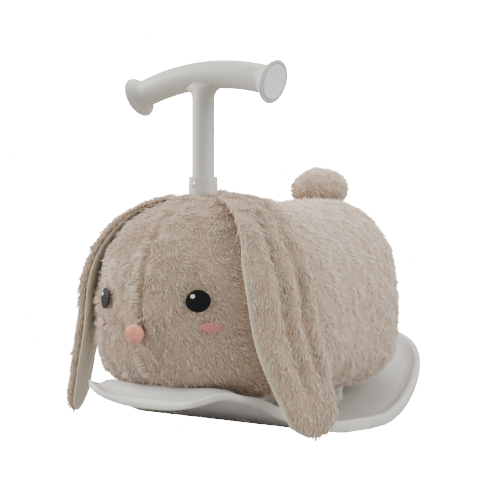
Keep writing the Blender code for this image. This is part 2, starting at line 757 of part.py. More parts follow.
def build_handlebar():
    route = [bar_point(BAR_END_ANGLE * step / BAR_STEPS) for step in range(-BAR_STEPS, BAR_STEPS + 1, 2)]
    curve = bpy.data.curves.new("bar_axis", "CURVE")
    curve.dimensions = "3D"
    curve.bevel_depth = BAR_RADIUS
    curve.bevel_resolution = 4
    curve.use_fill_caps = True
    spline = curve.splines.new("POLY")
    spline.points.add(len(route) - 1)
    for point, at in zip(spline.points, route):
        point.co = (*at, 1.0)
    bar_curve = bpy.data.objects.new("bar_axis", curve)
    PARTS.objects.link(bar_curve)
    handlebar = solid_copy(bar_curve, "handlebar", GREY)
    stem = round_bar(STEM_RADIUS, (0, SEAM_PLACE, STEM_BOTTOM), (0, SEAM_PLACE, BAR_HEIGHT + BAR_RADIUS / 3))
    combine(handlebar, add_cutter("stem", stem), "UNION")
    for name, side in (("left", 1), ("right", -1)):
        end = bar_point(side * BAR_END_ANGLE)
        out = Vector((side * math.cos(BAR_END_ANGLE), 0, -math.sin(BAR_END_ANGLE)))
        turn = Matrix.Translation(end) @ out.to_track_quat("Z", "Y").to_matrix().to_4x4()
        cap_floor = FLARE_LIP - CAP_DEPTH
        flare = turned(
            f"{name}_flare",
            (
                (0, FLARE_LIP),
                (FLARE_RADIUS - FLARE_EDGE, FLARE_LIP),
                (FLARE_RADIUS, FLARE_LIP - FLARE_EDGE),
                (FLARE_RADIUS - FLARE_EDGE / 2, 0),
                *(
                    (blend(BAR_RADIUS, FLARE_RADIUS, grown), -FLARE_LENGTH * along)
                    for along, grown in FLARE_CURVE_SHARES
                ),
                (BAR_RADIUS - CLEARANCE, -FLARE_LENGTH),
                (0, -FLARE_LENGTH),
            ),
            GREY,
            turn,
            CUTTERS,
        )
        flare.hide_render = True
        flare.display_type = "WIRE"
        combine(handlebar, flare, "UNION")
        seat = round_bar(CAP_RADIUS + CLEARANCE, end + out * cap_floor, end + out * (FLARE_LIP + CUT_OVERRUN))
        combine(handlebar, add_cutter(f"{name}_cap_seat", seat))
        low, high = cap_floor + CLEARANCE, FLARE_LIP + CAP_PROUD
        turned(
            f"{name}_end_cap",
            (
                (0, high),
                (CAP_RADIUS * CAP_CROWN_SHARES[0], high - CAP_PROUD * CAP_CROWN_SHARES[1]),
                (CAP_RADIUS, FLARE_LIP - CAP_PROUD),
                (CAP_RADIUS, low),
                (0, low),
            ),
            CAP,
            turn,
        )
    screw_way = small_bar(
        SCREW_RADIUS + CLEARANCE,
        (0, SEAM_PLACE - STEM_RADIUS - CUT_OVERRUN, SCREW_HEIGHT),
        (0, SEAM_PLACE + STEM_RADIUS + CUT_OVERRUN, SCREW_HEIGHT),
    )
    combine(handlebar, add_cutter("stem_screw_way", screw_way))


def build_collar():
    inner = STEM_RADIUS + CLEARANCE
    floor = STEM_BOTTOM - CLEARANCE
    foot = COLLAR_RADIUS + COLLAR_FLARE
    collar = turned(
        "socket_collar",
        (
            (0, floor),
            (inner, floor),
            (inner, COLLAR_TOP),
            (COLLAR_RADIUS - COLLAR_EDGE, COLLAR_TOP),
            (COLLAR_RADIUS, COLLAR_TOP - COLLAR_EDGE),
            (foot, CORE_BOTTOM + CORE_HEIGHT),
            (foot, floor - COLLAR_FLOOR),
            (0, floor - COLLAR_FLOOR),
        ),
        GREY,
        Matrix.Translation((0, SEAM_PLACE, 0)),
    )
    front, rear = SEAM_PLACE - COLLAR_RADIUS, SEAM_PLACE + COLLAR_RADIUS
    way = small_bar(
        SCREW_RADIUS + CLEARANCE,
        (0, front - CUT_OVERRUN, SCREW_HEIGHT),
        (0, rear + CUT_OVERRUN, SCREW_HEIGHT),
    )
    combine(collar, add_cutter("collar_screw_way", way))
    sink = SCREW_HEAD_HEIGHT + CLEARANCE
    seats = (("head", front - CUT_OVERRUN, front + sink), ("nut", rear - sink, rear + CUT_OVERRUN))
    for name, start, end in seats:
        seat = small_bar(SCREW_HEAD_RADIUS + CLEARANCE, (0, start, SCREW_HEIGHT), (0, end, SCREW_HEIGHT))
        combine(collar, add_cutter(f"screw_{name}_seat", seat))
    turn = Matrix.Translation((0, SEAM_PLACE, SCREW_HEIGHT)) @ Matrix.Rotation(math.pi / 2, 4, "X")
    reach = COLLAR_RADIUS
    turned(
        "collar_screw",
        (
            (0, reach),
            (SCREW_HEAD_RADIUS * SCREW_CROWN_SHARES[0], reach - SCREW_HEAD_HEIGHT * SCREW_CROWN_SHARES[1]),
            (SCREW_HEAD_RADIUS, reach - SCREW_HEAD_HEIGHT * SCREW_CROWN_SHARES[2]),
            (SCREW_HEAD_RADIUS, reach - SCREW_HEAD_HEIGHT),
            (SCREW_RADIUS, reach - SCREW_HEAD_HEIGHT),
            (SCREW_RADIUS, -reach),
            (0, -reach),
        ),
        STEEL,
        turn,
        segments=SMALL_SEGMENTS,
    )
    nut_inner = SCREW_RADIUS + CLEARANCE
    turned(
        "collar_nut",
        (
            (nut_inner, -reach),
            (nut_inner, -reach + SCREW_HEAD_HEIGHT),
            (SCREW_HEAD_RADIUS, -reach + SCREW_HEAD_HEIGHT),
            (SCREW_HEAD_RADIUS, -reach),
            (nut_inner, -reach),
        ),
        STEEL,
        turn,
        segments=SMALL_SEGMENTS,
    )


def main():
    build_board()
    build_core()
    build_bolts()
    build_rabbit()
    build_ears()
    build_face_and_tail()
    build_handlebar()
    build_collar()


main()
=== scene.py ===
"""Dress a plush ride-on rabbit on its moulded rocker board.

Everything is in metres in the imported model's frame: +Z up, and the rabbit faces -Y.
"""

import json
import logging
import math
from collections.abc import Callable
from dataclasses import dataclass
from enum import Enum

import bmesh
import bpy
from mathutils import Matrix, Vector, noise
from mathutils.bvhtree import BVHTree

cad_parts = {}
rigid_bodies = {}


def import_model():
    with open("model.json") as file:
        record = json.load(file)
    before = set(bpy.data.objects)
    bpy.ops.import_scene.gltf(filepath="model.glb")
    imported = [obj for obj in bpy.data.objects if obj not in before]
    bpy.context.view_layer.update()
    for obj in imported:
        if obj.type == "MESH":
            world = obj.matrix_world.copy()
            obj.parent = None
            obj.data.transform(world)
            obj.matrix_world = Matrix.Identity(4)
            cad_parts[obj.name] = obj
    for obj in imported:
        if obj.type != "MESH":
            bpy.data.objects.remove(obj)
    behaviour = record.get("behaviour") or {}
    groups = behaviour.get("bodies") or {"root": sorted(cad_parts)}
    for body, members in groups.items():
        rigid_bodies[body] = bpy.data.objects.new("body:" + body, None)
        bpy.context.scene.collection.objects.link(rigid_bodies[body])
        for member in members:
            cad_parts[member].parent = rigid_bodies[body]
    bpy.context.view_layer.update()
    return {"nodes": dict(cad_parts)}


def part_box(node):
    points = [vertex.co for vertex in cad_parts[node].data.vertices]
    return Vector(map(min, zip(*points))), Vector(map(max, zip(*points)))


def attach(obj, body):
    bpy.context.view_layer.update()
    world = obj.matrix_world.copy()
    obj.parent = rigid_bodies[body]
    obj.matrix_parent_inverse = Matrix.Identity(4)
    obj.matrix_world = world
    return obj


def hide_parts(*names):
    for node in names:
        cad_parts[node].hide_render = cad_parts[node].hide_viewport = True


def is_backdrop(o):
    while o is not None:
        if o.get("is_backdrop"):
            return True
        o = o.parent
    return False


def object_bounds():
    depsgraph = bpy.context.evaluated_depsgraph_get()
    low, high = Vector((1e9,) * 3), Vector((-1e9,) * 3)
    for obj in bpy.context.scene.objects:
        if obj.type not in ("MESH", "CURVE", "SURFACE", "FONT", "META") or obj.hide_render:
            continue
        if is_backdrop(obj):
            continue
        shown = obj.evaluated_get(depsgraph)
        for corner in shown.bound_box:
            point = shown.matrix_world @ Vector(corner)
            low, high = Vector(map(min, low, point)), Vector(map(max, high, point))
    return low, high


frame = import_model()
LOG = logging.getLogger("ride_on_rabbit")

Colour = tuple[float, float, float]
Point = tuple[float, float, float]
Table = tuple[tuple[float, ...], ...]
Form = bmesh.types.BMesh
Piece = bpy.types.Object
Material = bpy.types.Material
Socket = bpy.types.NodeSocket
Where = Callable[[Vector, Vector], bool]
Profile = list[tuple[float, float]]
Inputs = dict[str | int, object] | None

STEM_PLACE = -0.104  # along Y, for the stem, the seam behind the face and the ears' roots
SCREW_HEIGHT = 0.2775
PILE_SPACING = 0.0015
PILE_DEPTH = 0.0035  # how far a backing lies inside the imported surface, to leave room for its pile
CROWN_HEIGHT = 0.2  # above it lies the top of the rabbit
SEWN_ANGLE = 80.0  # in degrees, past which an edge of a sewn piece stays sharp
MOULDED_ANGLE = 60.0
CARVED_ANGLE = 40.0
HOLE_CLEARANCE = 0.0003


class Side(Enum):
    """A side of the rabbit, as the rabbit itself has it."""

    LEFT = 1
    RIGHT = -1

    @property
    def word(self) -> str:
        """The side's name in a piece's name."""
        return self.name.lower()


class Coat(Enum):
    """How the pile is brushed on each sewn part."""

    HEAD = "head"
    BODY = "body"
    EAR = "ear"
    TAIL = "tail"
    NOSE = "nose"


# Small tools for curves


def clamped(value: float, low: float = 0.0, high: float = 1.0) -> float:
    """The value, kept between low and high."""
    return max(low, min(high, value))


def mix(low: float, high: float, share: float) -> float:
    """The value a share of the way from low to high."""
    return low + (high - low) * share


def bell(distance: float, width: float) -> float:
    """A smooth bump that is 1 at no distance and falls away over a width."""
    return math.exp(-((distance / width) ** 2))


def smooth_step(value: float) -> float:
    """A share from 0 to 1 with soft ends."""
    value = clamped(value)
    return value * value * (3 - 2 * value)


def slope_at(table: Table, index: int, column: int) -> float:
    """The slope of a smooth curve at one of a table's stations.

    Args:
        table: Stations, each a place followed by its values.
        index: The station.
        column: Which value to read.

    Returns:
        The slope, zero at a high or low point so that the curve never overshoots.
    """
    if index in (0, len(table) - 1):
        low, high = (table[0], table[1]) if index == 0 else (table[-2], table[-1])
        return (high[column] - low[column]) / (high[0] - low[0])
    before, here, after = table[index - 1 : index + 2]
    first = (here[column] - before[column]) / (here[0] - before[0])
    second = (after[column] - here[column]) / (after[0] - here[0])
    return 2 * first * second / (first + second) if first * second > 0 else 0.0


def read_table(table: Table, place: float, column: int) -> float:
    """Read a value between a table's stations on a smooth curve.

    Args:
        table: Stations, each a place followed by its values.
        place: Where to read.
        column: Which value to read.

    Returns:
        The value there.
    """
    if place <= table[0][0]:
        return table[0][column]
    for index, (before, after) in enumerate(zip(table, table[1:])):
        if place <= after[0]:
            run = after[0] - before[0]
            share = (place - before[0]) / run
            rise = after[column] - before[column]
            start = slope_at(table, index, column) * run
            end = slope_at(table, index + 1, column) * run
            bend = share * (3 * rise - 2 * start - end + share * (start + end - 2 * rise))
            return before[column] + share * (start + bend)
    return table[-1][column]


def superellipse(angle: float, power: float) -> tuple[float, float]:
    """A point of a unit superellipse.

    Args:
        angle: Where on it.
        power: 2 for a circle, and more for squarer corners.

    Returns:
        The point, across and up.
    """
    along, up = math.cos(angle), math.sin(angle)
    scale = (abs(along) ** power + abs(up) ** power) ** (-1 / power)
    return along * scale, up * scale


def quarter_round(middle: tuple[float, float], wide: float, high: float, steps: int) -> Profile:
    """A rounded outer corner of a profile.

    Args:
        middle: The radius and height of the arc's middle.
        wide: How far it reaches out.
        high: How far it reaches up.
        steps: How many steps the arc takes.

    Returns:
        Points of (radius, height), from its top round to its outer side.
    """
    angles = [math.pi / 2 * step / steps for step in range(steps + 1)]
    return [(middle[0] + wide * math.sin(angle), middle[1] + high * math.cos(angle)) for angle in angles]


def smoothed(run: list[Vector]) -> list[Vector]:
    """A run of vectors, each but the ends drawn towards its neighbours."""
    inner = [(a + b * 2 + c) / 4 for a, b, c in zip(run, run[1:], run[2:])]
    return [run[0], *inner, run[-1]]


# Small tools for meshes


def close_and_face_out(form: Form) -> Form:
    """Merge doubles and turn every face outwards.

    Args:
        form: The form, which is changed.

    Returns:
        The same form.
    """
    bmesh.ops.remove_doubles(form, verts=form.verts, dist=1e-6)
    bmesh.ops.recalc_face_normals(form, faces=form.faces)
    if form.calc_volume(signed=True) < 0:
        bmesh.ops.reverse_faces(form, faces=form.faces)
    return form


def moved(form: Form, place: Matrix) -> Form:
    """A form moved to its place and turned outwards."""
    bmesh.ops.transform(form, matrix=place, verts=form.verts)
    return close_and_face_out(form)


def ball(segments: int, rings: int, radius: float = 1.0, centre: Point = (0, 0, 0)) -> Form:
    """A new sphere with its poles on Z.

    Args:
        segments: How many sides it has.
        rings: How many rings it has from pole to pole.
        radius: Its radius.
        centre: Its middle.

    Returns:
        The form.
    """
    form = bmesh.new()
    place = Matrix.Translation(centre)
    bmesh.ops.create_uvsphere(form, u_segments=segments, v_segments=rings, radius=radius, matrix=place)
    return form


def rod(radius: float, start: Point, end: Point, segments: int = 48) -> Form:
    """A closed cylinder between two points.

    Args:
        radius: Its radius.
        start: The middle of one end.
        end: The middle of the other.
        segments: How many sides it has.

    Returns:
        The form.
    """
    form = bmesh.new()
    axis = Vector(end) - Vector(start)
    turn = axis.to_track_quat("Z", "Y").to_matrix().to_4x4()
    place = Matrix.Translation((Vector(start) + Vector(end)) / 2) @ turn
    bmesh.ops.create_cone(
        form, cap_ends=True, segments=segments, radius1=radius, radius2=radius,
        depth=axis.length, matrix=place,
    )
    return form


def spun(profile: Profile, steps: int = 72) -> Form:
    """Spin a profile about Z.

    Args:
        profile: Points of (radius, height), which start and end on the axis.
        steps: How many steps the turn takes.

    Returns:
        The closed form.
    """
    form = bmesh.new()
    points = [form.verts.new((radius, 0.0, height)) for radius, height in profile]
    edges = [form.edges.new(pair) for pair in zip(points, points[1:])]
    bmesh.ops.spin(
        form, geom=points + edges, cent=(0, 0, 0), axis=(0, 0, 1), angle=math.tau, steps=steps, use_merge=True
    )
    return close_and_face_out(form)


def sliced(
    form: Form, place: Point, normal: Point = (0, 0, 1), clear: bool = False
) -> list[bmesh.types.BMEdge]:
    """Cut a form along a plane.

    Args:
        form: The form, which is changed.
        place: A point of the plane.
        normal: The plane's direction.
        clear: Whether to drop what lies past it.

    Returns:
        The edges that the cut made.
    """
    whole = form.verts[:] + form.edges[:] + form.faces[:]
    cut = bmesh.ops.bisect_plane(form, geom=whole, plane_co=place, plane_no=normal, clear_outer=clear)
    return [item for item in cut["geom_cut"] if isinstance(item, bmesh.types.BMEdge)]


def make_piece(name: str, form: Form, material: Material, sharp: float = 50.0) -> Piece:
    """Turn a form into a finished object at the origin.

    Args:
        name: The piece's name.
        form: Its shape, in the model's frame; it is freed.
        material: Its finish.
        sharp: The angle in degrees past which an edge stays sharp.

    Returns:
        The linked object.
    """
    mesh = bpy.data.meshes.new(name)
    form.to_mesh(mesh)
    form.free()
    mesh.materials.append(material)
    mesh.shade_smooth()
    mesh.set_sharp_from_angle(angle=math.radians(sharp))
    piece = bpy.data.objects.new(name, mesh)
    bpy.context.scene.collection.objects.link(piece)
    return piece


def bake_modifiers(piece: Piece) -> None:
    """Replace a piece's mesh by what its modifiers make of it.

    Args:
        piece: The piece.
    """
    bpy.context.view_layer.update()
    graph = bpy.context.evaluated_depsgraph_get()
    mesh = bpy.data.meshes.new_from_object(piece.evaluated_get(graph))
    piece.modifiers.clear()
    old, piece.data = piece.data, mesh
    bpy.data.meshes.remove(old)


def carve(piece: Piece, tools: list[Form], operation: str) -> None:
    """Join simple forms to a piece or cut them from it.

    Args:
        piece: The piece, whose mesh is replaced.
        tools: Closed forms; they are freed.
        operation: DIFFERENCE or UNION.
    """
    for number, tool in enumerate(tools):
        helper = make_piece(f"{piece.name}_tool_{number}", tool, piece.data.materials[0])
        boolean = piece.modifiers.new("carve", "BOOLEAN")
        boolean.operation = operation
        boolean.object = helper
        bake_modifiers(piece)
        bpy.data.objects.remove(helper)
    piece.data.shade_smooth()
    piece.data.set_sharp_from_angle(angle=math.radians(CARVED_ANGLE))


def helper_of(name: str, pieces: list[Piece]) -> Piece:
    """A hidden shape of several pieces together, that pile keeps off.

    Args:
        name: Its name.
        pieces: What it is made of.

    Returns:
        The hidden object.
    """
    form = bmesh.new()
    for piece in pieces:
        form.from_mesh(piece.data)
    helper = make_piece(name, form, pieces[0].data.materials[0])
    helper.hide_render = True
    return helper


def hang_on(piece: Piece, body: str, slot: str, *nodes: str) -> None:
    """Let a piece ride on a body and hide the nodes that it stands for.

    Args:
        piece: The finished piece.
        body: The CAD body that it moves with.
        slot: The record's material slot; it is not used.
        nodes: The CAD nodes that it replaces.
    """
    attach(piece, body)
    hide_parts(*nodes)
    LOG.info("%s: %d faces on %s", piece.name, len(piece.data.polygons), body)


# Finishes


def add_node(
    tree: bpy.types.NodeTree, kind: str, inputs: Inputs = None, **settings: object
) -> bpy.types.Node:
    """Add a node to a material's, the world's or a geometry tree.

    Args:
        tree: The tree.
        kind: The node's type.
        inputs: What goes into its inputs, by name or number: an output is linked, anything else is set.
        settings: The node's own settings.

    Returns:
        The node.
    """
    node = tree.nodes.new(kind)
    for name, value in settings.items():
        setattr(node, name, value)
    for key, value in (inputs or {}).items():
        socket = node.inputs[key]
        if isinstance(value, bpy.types.NodeSocket):
            tree.links.new(value, socket)
        else:
            socket.default_value = (*value, 1) if socket.type == "RGBA" else value
    return node


class Shader:
    """Wires a Principled material whose patterns lie on Object coordinates."""

    def __init__(self, name: str, roughness: float, **values: float) -> None:
        """Start a material.

        Args:
            name: The finish's name.
            roughness: Its roughness where nothing is linked.
            values: The shader's other numbers, by input name with _ for a space.
        """
        self.material = bpy.data.materials.new(name)
        self.material.use_nodes = True
        self.tree = self.material.node_tree
        self.base = self.tree.nodes["Principled BSDF"]
        self.base.inputs["Roughness"].default_value = roughness
        for key, value in values.items():
            self.base.inputs[key.replace("_", " ")].default_value = value
        self.place = self.node("ShaderNodeTexCoord").outputs["Object"]

    def node(self, kind: str, inputs: Inputs = None, **settings: object) -> bpy.types.Node:
        """Add a node to the material."""
        return add_node(self.tree, kind, inputs, **settings)

    def stretched(self, scale: Point, turn: Point = (0, 0, 0)) -> Socket:
        """Object coordinates, scaled along each axis and turned."""
        values = {"Vector": self.place, "Scale": scale, "Rotation": turn}
        return self.node("ShaderNodeMapping", values).outputs["Vector"]

    def noise(
        self, scale: float, detail: float = 2.0, place: Socket | None = None, warp: float = 0.0
    ) -> Socket:
        """Cloudy noise on the piece.

        Args:
            scale: Clouds to a metre.
            detail: How much finer noise is added.
            place: Coordinates other than plain Object ones.
            warp: How far the noise is bent by itself.

        Returns:
            A share from 0 to 1.
        """
        values = {"Vector": place or self.place, "Scale": scale, "Detail": detail, "Distortion": warp}
        return self.node("ShaderNodeTexNoise", values).outputs["Fac"]

    def ramp(self, share: Socket, low: tuple[float, Colour], high: tuple[float, Colour]) -> Socket:
        """Colours along a share.

        Args:
            share: The share.
            low: Where the first colour ends, and the colour.
            high: Where the second colour starts, and the colour.

        Returns:
            The colour.
        """
        made = self.node("ShaderNodeValToRGB", {"Fac": share})
        for element, (position, colour) in zip(made.color_ramp.elements, (low, high)):
            element.position = position
            element.color = (*colour, 1)
        return made.outputs["Color"]

    def blended(self, share: Socket, low: Socket | Colour, high: Socket | Colour, how: str = "MIX") -> Socket:
        """Mix two colours.

        Args:
            share: How much of the second is taken.
            low: The first, a colour or an output.
            high: The second.
            how: The blend type.

        Returns:
            The colour.
        """
        made = self.node("ShaderNodeMix", data_type="RGBA", blend_type=how)
        factor, first, second = [socket for socket in made.inputs if socket.enabled]
        for socket, value in ((factor, share), (first, low), (second, high)):
            if isinstance(value, bpy.types.NodeSocket):
                self.tree.links.new(value, socket)
            else:
                socket.default_value = (*value, 1)
        return next(socket for socket in made.outputs if socket.enabled)

    def spread(self, share: Socket, low: float, high: float) -> Socket:
        """Turn a share from 0 to 1 into a number from low to high."""
        values = {"Value": share, "To Min": low, "To Max": high}
        return self.node("ShaderNodeMapRange", values).outputs["Result"]

    def bump(self, height: Socket, strength: float, depth: float, under: Socket | None = None) -> Socket:
        """A bumped normal.

        Args:
            height: The height from 0 to 1.
            strength: How strongly it shows.
            depth: How deep it is, in metres.
            under: Another bump that it lies on.

        Returns:
            The normal.
        """
        values = {"Height": height, "Strength": strength, "Distance": depth}
        if under:
            values["Normal"] = under
        return self.node("ShaderNodeBump", values).outputs["Normal"]

    def finish(
        self, colour: Socket, normal: Socket | None = None, roughness: Socket | None = None
    ) -> Material:
        """Link the last outputs to the shader.

        Args:
            colour: The colour.
            normal: The bumped normal, if any.
            roughness: The roughness, if it varies.

        Returns:
            The material.
        """
        for name, output in (("Base Color", colour), ("Normal", normal), ("Roughness", roughness)):
            if output:
                self.tree.links.new(output, self.base.inputs[name])
        return self.material


@dataclass(frozen=True)
class Finish:
    """A finish with its main colour and its darker one."""

    name: str
    colour: Colour
    shade: Colour


@dataclass(frozen=True)
class PileFinish(Finish):
    """Short plush pile, with painted shade towards each tuft's root and a mottle of painted shade where the
    nap parts and turns.
    """

    # A darker tone mottled over the pile in clumps, strands and patches: painted shade where the nap parts
    # and turns.
    worn: Colour
    mottle: float = 0.30
    clumps: float = 95.0
    strands: float = 900.0
    patches: float = 30.0

    def material(self) -> Material:
        """Wire the finish.

        Returns:
            The material.
        """
        shader = Shader(self.name, 0.95, Sheen_Weight=0.45, Sheen_Roughness=0.6, Specular_IOR_Level=0.15)
        # pile_height runs from a tuft's root to its tip, so the shade colour paints shade at the roots.
        height = shader.node("ShaderNodeAttribute", attribute_name="pile_height").outputs["Fac"]
        tips = shader.ramp(shader.noise(self.clumps, 3.0, warp=0.6), (0.36, self.worn), (0.58, self.colour))
        roots = shader.blended(height, self.shade, tips)
        patches = shader.spread(shader.noise(self.patches, 3.0, warp=0.8), 0.0, self.mottle)
        strands = shader.spread(shader.noise(self.strands, 1.0), 0.0, self.mottle)
        streaks = shader.blended(strands, roots, self.worn, "MULTIPLY")
        return shader.finish(shader.blended(patches, streaks, self.worn, "MULTIPLY"))


@dataclass(frozen=True)
class BackingFinish(Finish):
    """The cloth that the pile stands on, coloured dark as painted shade deep among the tufts."""

    nap: float = 420.0

    def material(self) -> Material:
        """Wire the finish.

        Returns:
            The material.
        """
        shader = Shader(self.name, 1.0)
        nap = shader.noise(self.nap, 4.0, warp=0.4)
        colour = shader.ramp(nap, (0.35, self.shade), (0.7, self.colour))
        return shader.finish(colour, shader.bump(nap, 0.8, 0.0015))


@dataclass(frozen=True)
class VelourFinish(Finish):
    """Smooth cut velour with a soft sheen and a brushed nap."""

    nap: float = 1400.0
    strokes: float = 45.0

    def material(self) -> Material:
        """Wire the finish.

        Returns:
            The material.
        """
        shader = Shader(self.name, 0.9, Sheen_Weight=0.4, Sheen_Roughness=0.5)
        strokes = shader.noise(self.strokes, 3.0, shader.stretched((1.0, 1.0, 0.35)), 0.8)
        colour = shader.ramp(strokes, (0.3, self.shade), (0.65, self.colour))
        nap = shader.noise(self.nap, 3.0)
        return shader.finish(colour, shader.bump(nap, 0.5, 0.0004, shader.bump(strokes, 0.3, 0.002)))


@dataclass(frozen=True)
class MouldedPlasticFinish(Finish):
    """Satin moulded plastic with a fine spark-eroded grain and faint handling marks."""

    roughness: float = 0.42
    grain_depth: float = 0.12
    flow: float = 7.0
    marks: float = 60.0
    grain: float = 2600.0

    def material(self) -> Material:
        """Wire the finish.

        Returns:
            The material.
        """
        shader = Shader(self.name, self.roughness)
        flow = shader.noise(self.flow, 3.0, warp=1.0)
        colour = shader.ramp(flow, (0.25, self.shade), (0.75, self.colour))
        marks = shader.noise(self.marks, 6.0, shader.stretched((1.0, 0.25, 1.0), (0.2, 0.0, 0.6)))
        roughness = shader.spread(marks, self.roughness - 0.07, self.roughness + 0.1)
        normal = shader.bump(shader.noise(self.grain, 1.0), self.grain_depth, 0.0002)
        return shader.finish(colour, normal, roughness)


@dataclass(frozen=True)
class StitchFinish(Finish):
    """Embroidery in close satin stitches, with the thread's gloss and painted light and shade across each
    stitch.
    """

    threads: float = 1500.0
    roughness: float = 0.45
    sheen: float = 0.3
    shine: float = 0.4
    slant: float = math.radians(28)

    def material(self) -> Material:
        """Wire the finish.

        Returns:
            The material.
        """
        shader = Shader(self.name, self.roughness, Sheen_Weight=self.sheen, Specular_IOR_Level=self.shine)
        place = shader.stretched((1, 1, 1), (0, self.slant, 0))
        values = {"Vector": place, "Scale": self.threads / 10, "Distortion": 1.2, "Detail": 1.0}
        wave = shader.node("ShaderNodeTexWave", values, wave_type="BANDS", bands_direction="X")
        thread = wave.outputs["Fac"]
        # Painted light and shade: each stitch goes from the shade colour in its groove to the main colour on
        # its crest.
        colour = shader.ramp(thread, (0.2, self.shade), (0.7, self.colour))
        colour = shader.blended(shader.spread(shader.noise(160.0), 0.0, 0.35), colour, self.shade)
        return shader.finish(colour, shader.bump(thread, 0.6, 0.0003))


@dataclass(frozen=True)
class SteelFinish(Finish):
    """Zinc-plated steel, lightly brushed."""

    strokes: float = 500.0

    def material(self) -> Material:
        """Wire the finish.

        Returns:
            The material.
        """
        shader = Shader(self.name, 0.3, Metallic=1.0)
        brushed = shader.noise(self.strokes, 3.0, shader.stretched((1.0, 0.1, 1.0)))
        colour = shader.ramp(brushed, (0.3, self.shade), (0.7, self.colour))
        return shader.finish(colour, shader.bump(brushed, 0.15, 0.0001), shader.spread(brushed, 0.24, 0.42))


@dataclass(frozen=True)
class FormerFinish(Finish):
    """The plain board of the hidden seat former, with its pressed flakes."""

    flakes: float = 120.0

    def material(self) -> Material:
        """Wire the finish.

        Returns:
            The material.
        """
        shader = Shader(self.name, 0.8)
        flakes = shader.noise(self.flakes, 5.0, shader.stretched((1.0, 0.4, 1.6)), 1.5)
        colour = shader.ramp(flakes, (0.3, self.shade), (0.7, self.colour))
        return shader.finish(colour, shader.bump(flakes, 0.3, 0.0006))


class Finishes:
    """Every finish that the toy wears, each wired once."""

    def __init__(self) -> None:
        """Wire them all."""
        # Pile colours: the tips, painted shade at the roots, then the mottle's painted shade.
        taupe = PileFinish("taupe_pile", (0.97, 0.87, 0.76), (0.49, 0.37, 0.27), (0.86, 0.73, 0.60))
        # The backing's dark colours are painted shade deep in the pile.
        backing = BackingFinish("pile_backing", (0.52, 0.40, 0.30), (0.36, 0.26, 0.18))
        velour = VelourFinish("cream_velour", (0.88, 0.81, 0.64), (0.76, 0.68, 0.51))
        board = MouldedPlasticFinish("warm_white_plastic", (0.59, 0.575, 0.54), (0.54, 0.525, 0.49))
        handle = MouldedPlasticFinish("pale_grey_plastic", (0.47, 0.46, 0.42), (0.43, 0.42, 0.38), 0.46)
        cap = MouldedPlasticFinish("cap_plastic", (0.66, 0.64, 0.67), (0.62, 0.60, 0.63), 0.34, 0.05)
        # Stitch finishes: the second colour paints shade across each stitch and also darkens random spots.
        black = StitchFinish(
            "black_stitch", (0.008, 0.008, 0.009), (0.003, 0.003, 0.004), sheen=0.0, shine=0.12
        )
        white = StitchFinish("white_stitch", (0.78, 0.76, 0.76), (0.6, 0.58, 0.58))
        pink = StitchFinish("pink_stitch", (0.50, 0.18, 0.165), (0.44, 0.145, 0.135), 2400.0, 0.7)
        # The nose's fuzz: the tips, painted shade at the roots, then the mottle's painted shade.
        coral = PileFinish("coral_fuzz", (0.98, 0.60, 0.45), (0.86, 0.42, 0.29), (0.93, 0.52, 0.38))
        zinc = (0.72, 0.72, 0.73)
        steel = SteelFinish("zinc_steel", zinc, tuple(value * 0.82 for value in zinc))
        former = FormerFinish("former_board", (0.62, 0.52, 0.36), (0.48, 0.38, 0.24))
        self.pile, self.backing, self.velour = taupe.material(), backing.material(), velour.material()
        self.board, self.handle, self.cap = board.material(), handle.material(), cap.material()
        self.black, self.white, self.pink = black.material(), white.material(), pink.material()
        self.coral, self.steel, self.former = coral.material(), steel.material(), former.material()


# The rabbit's stuffed form


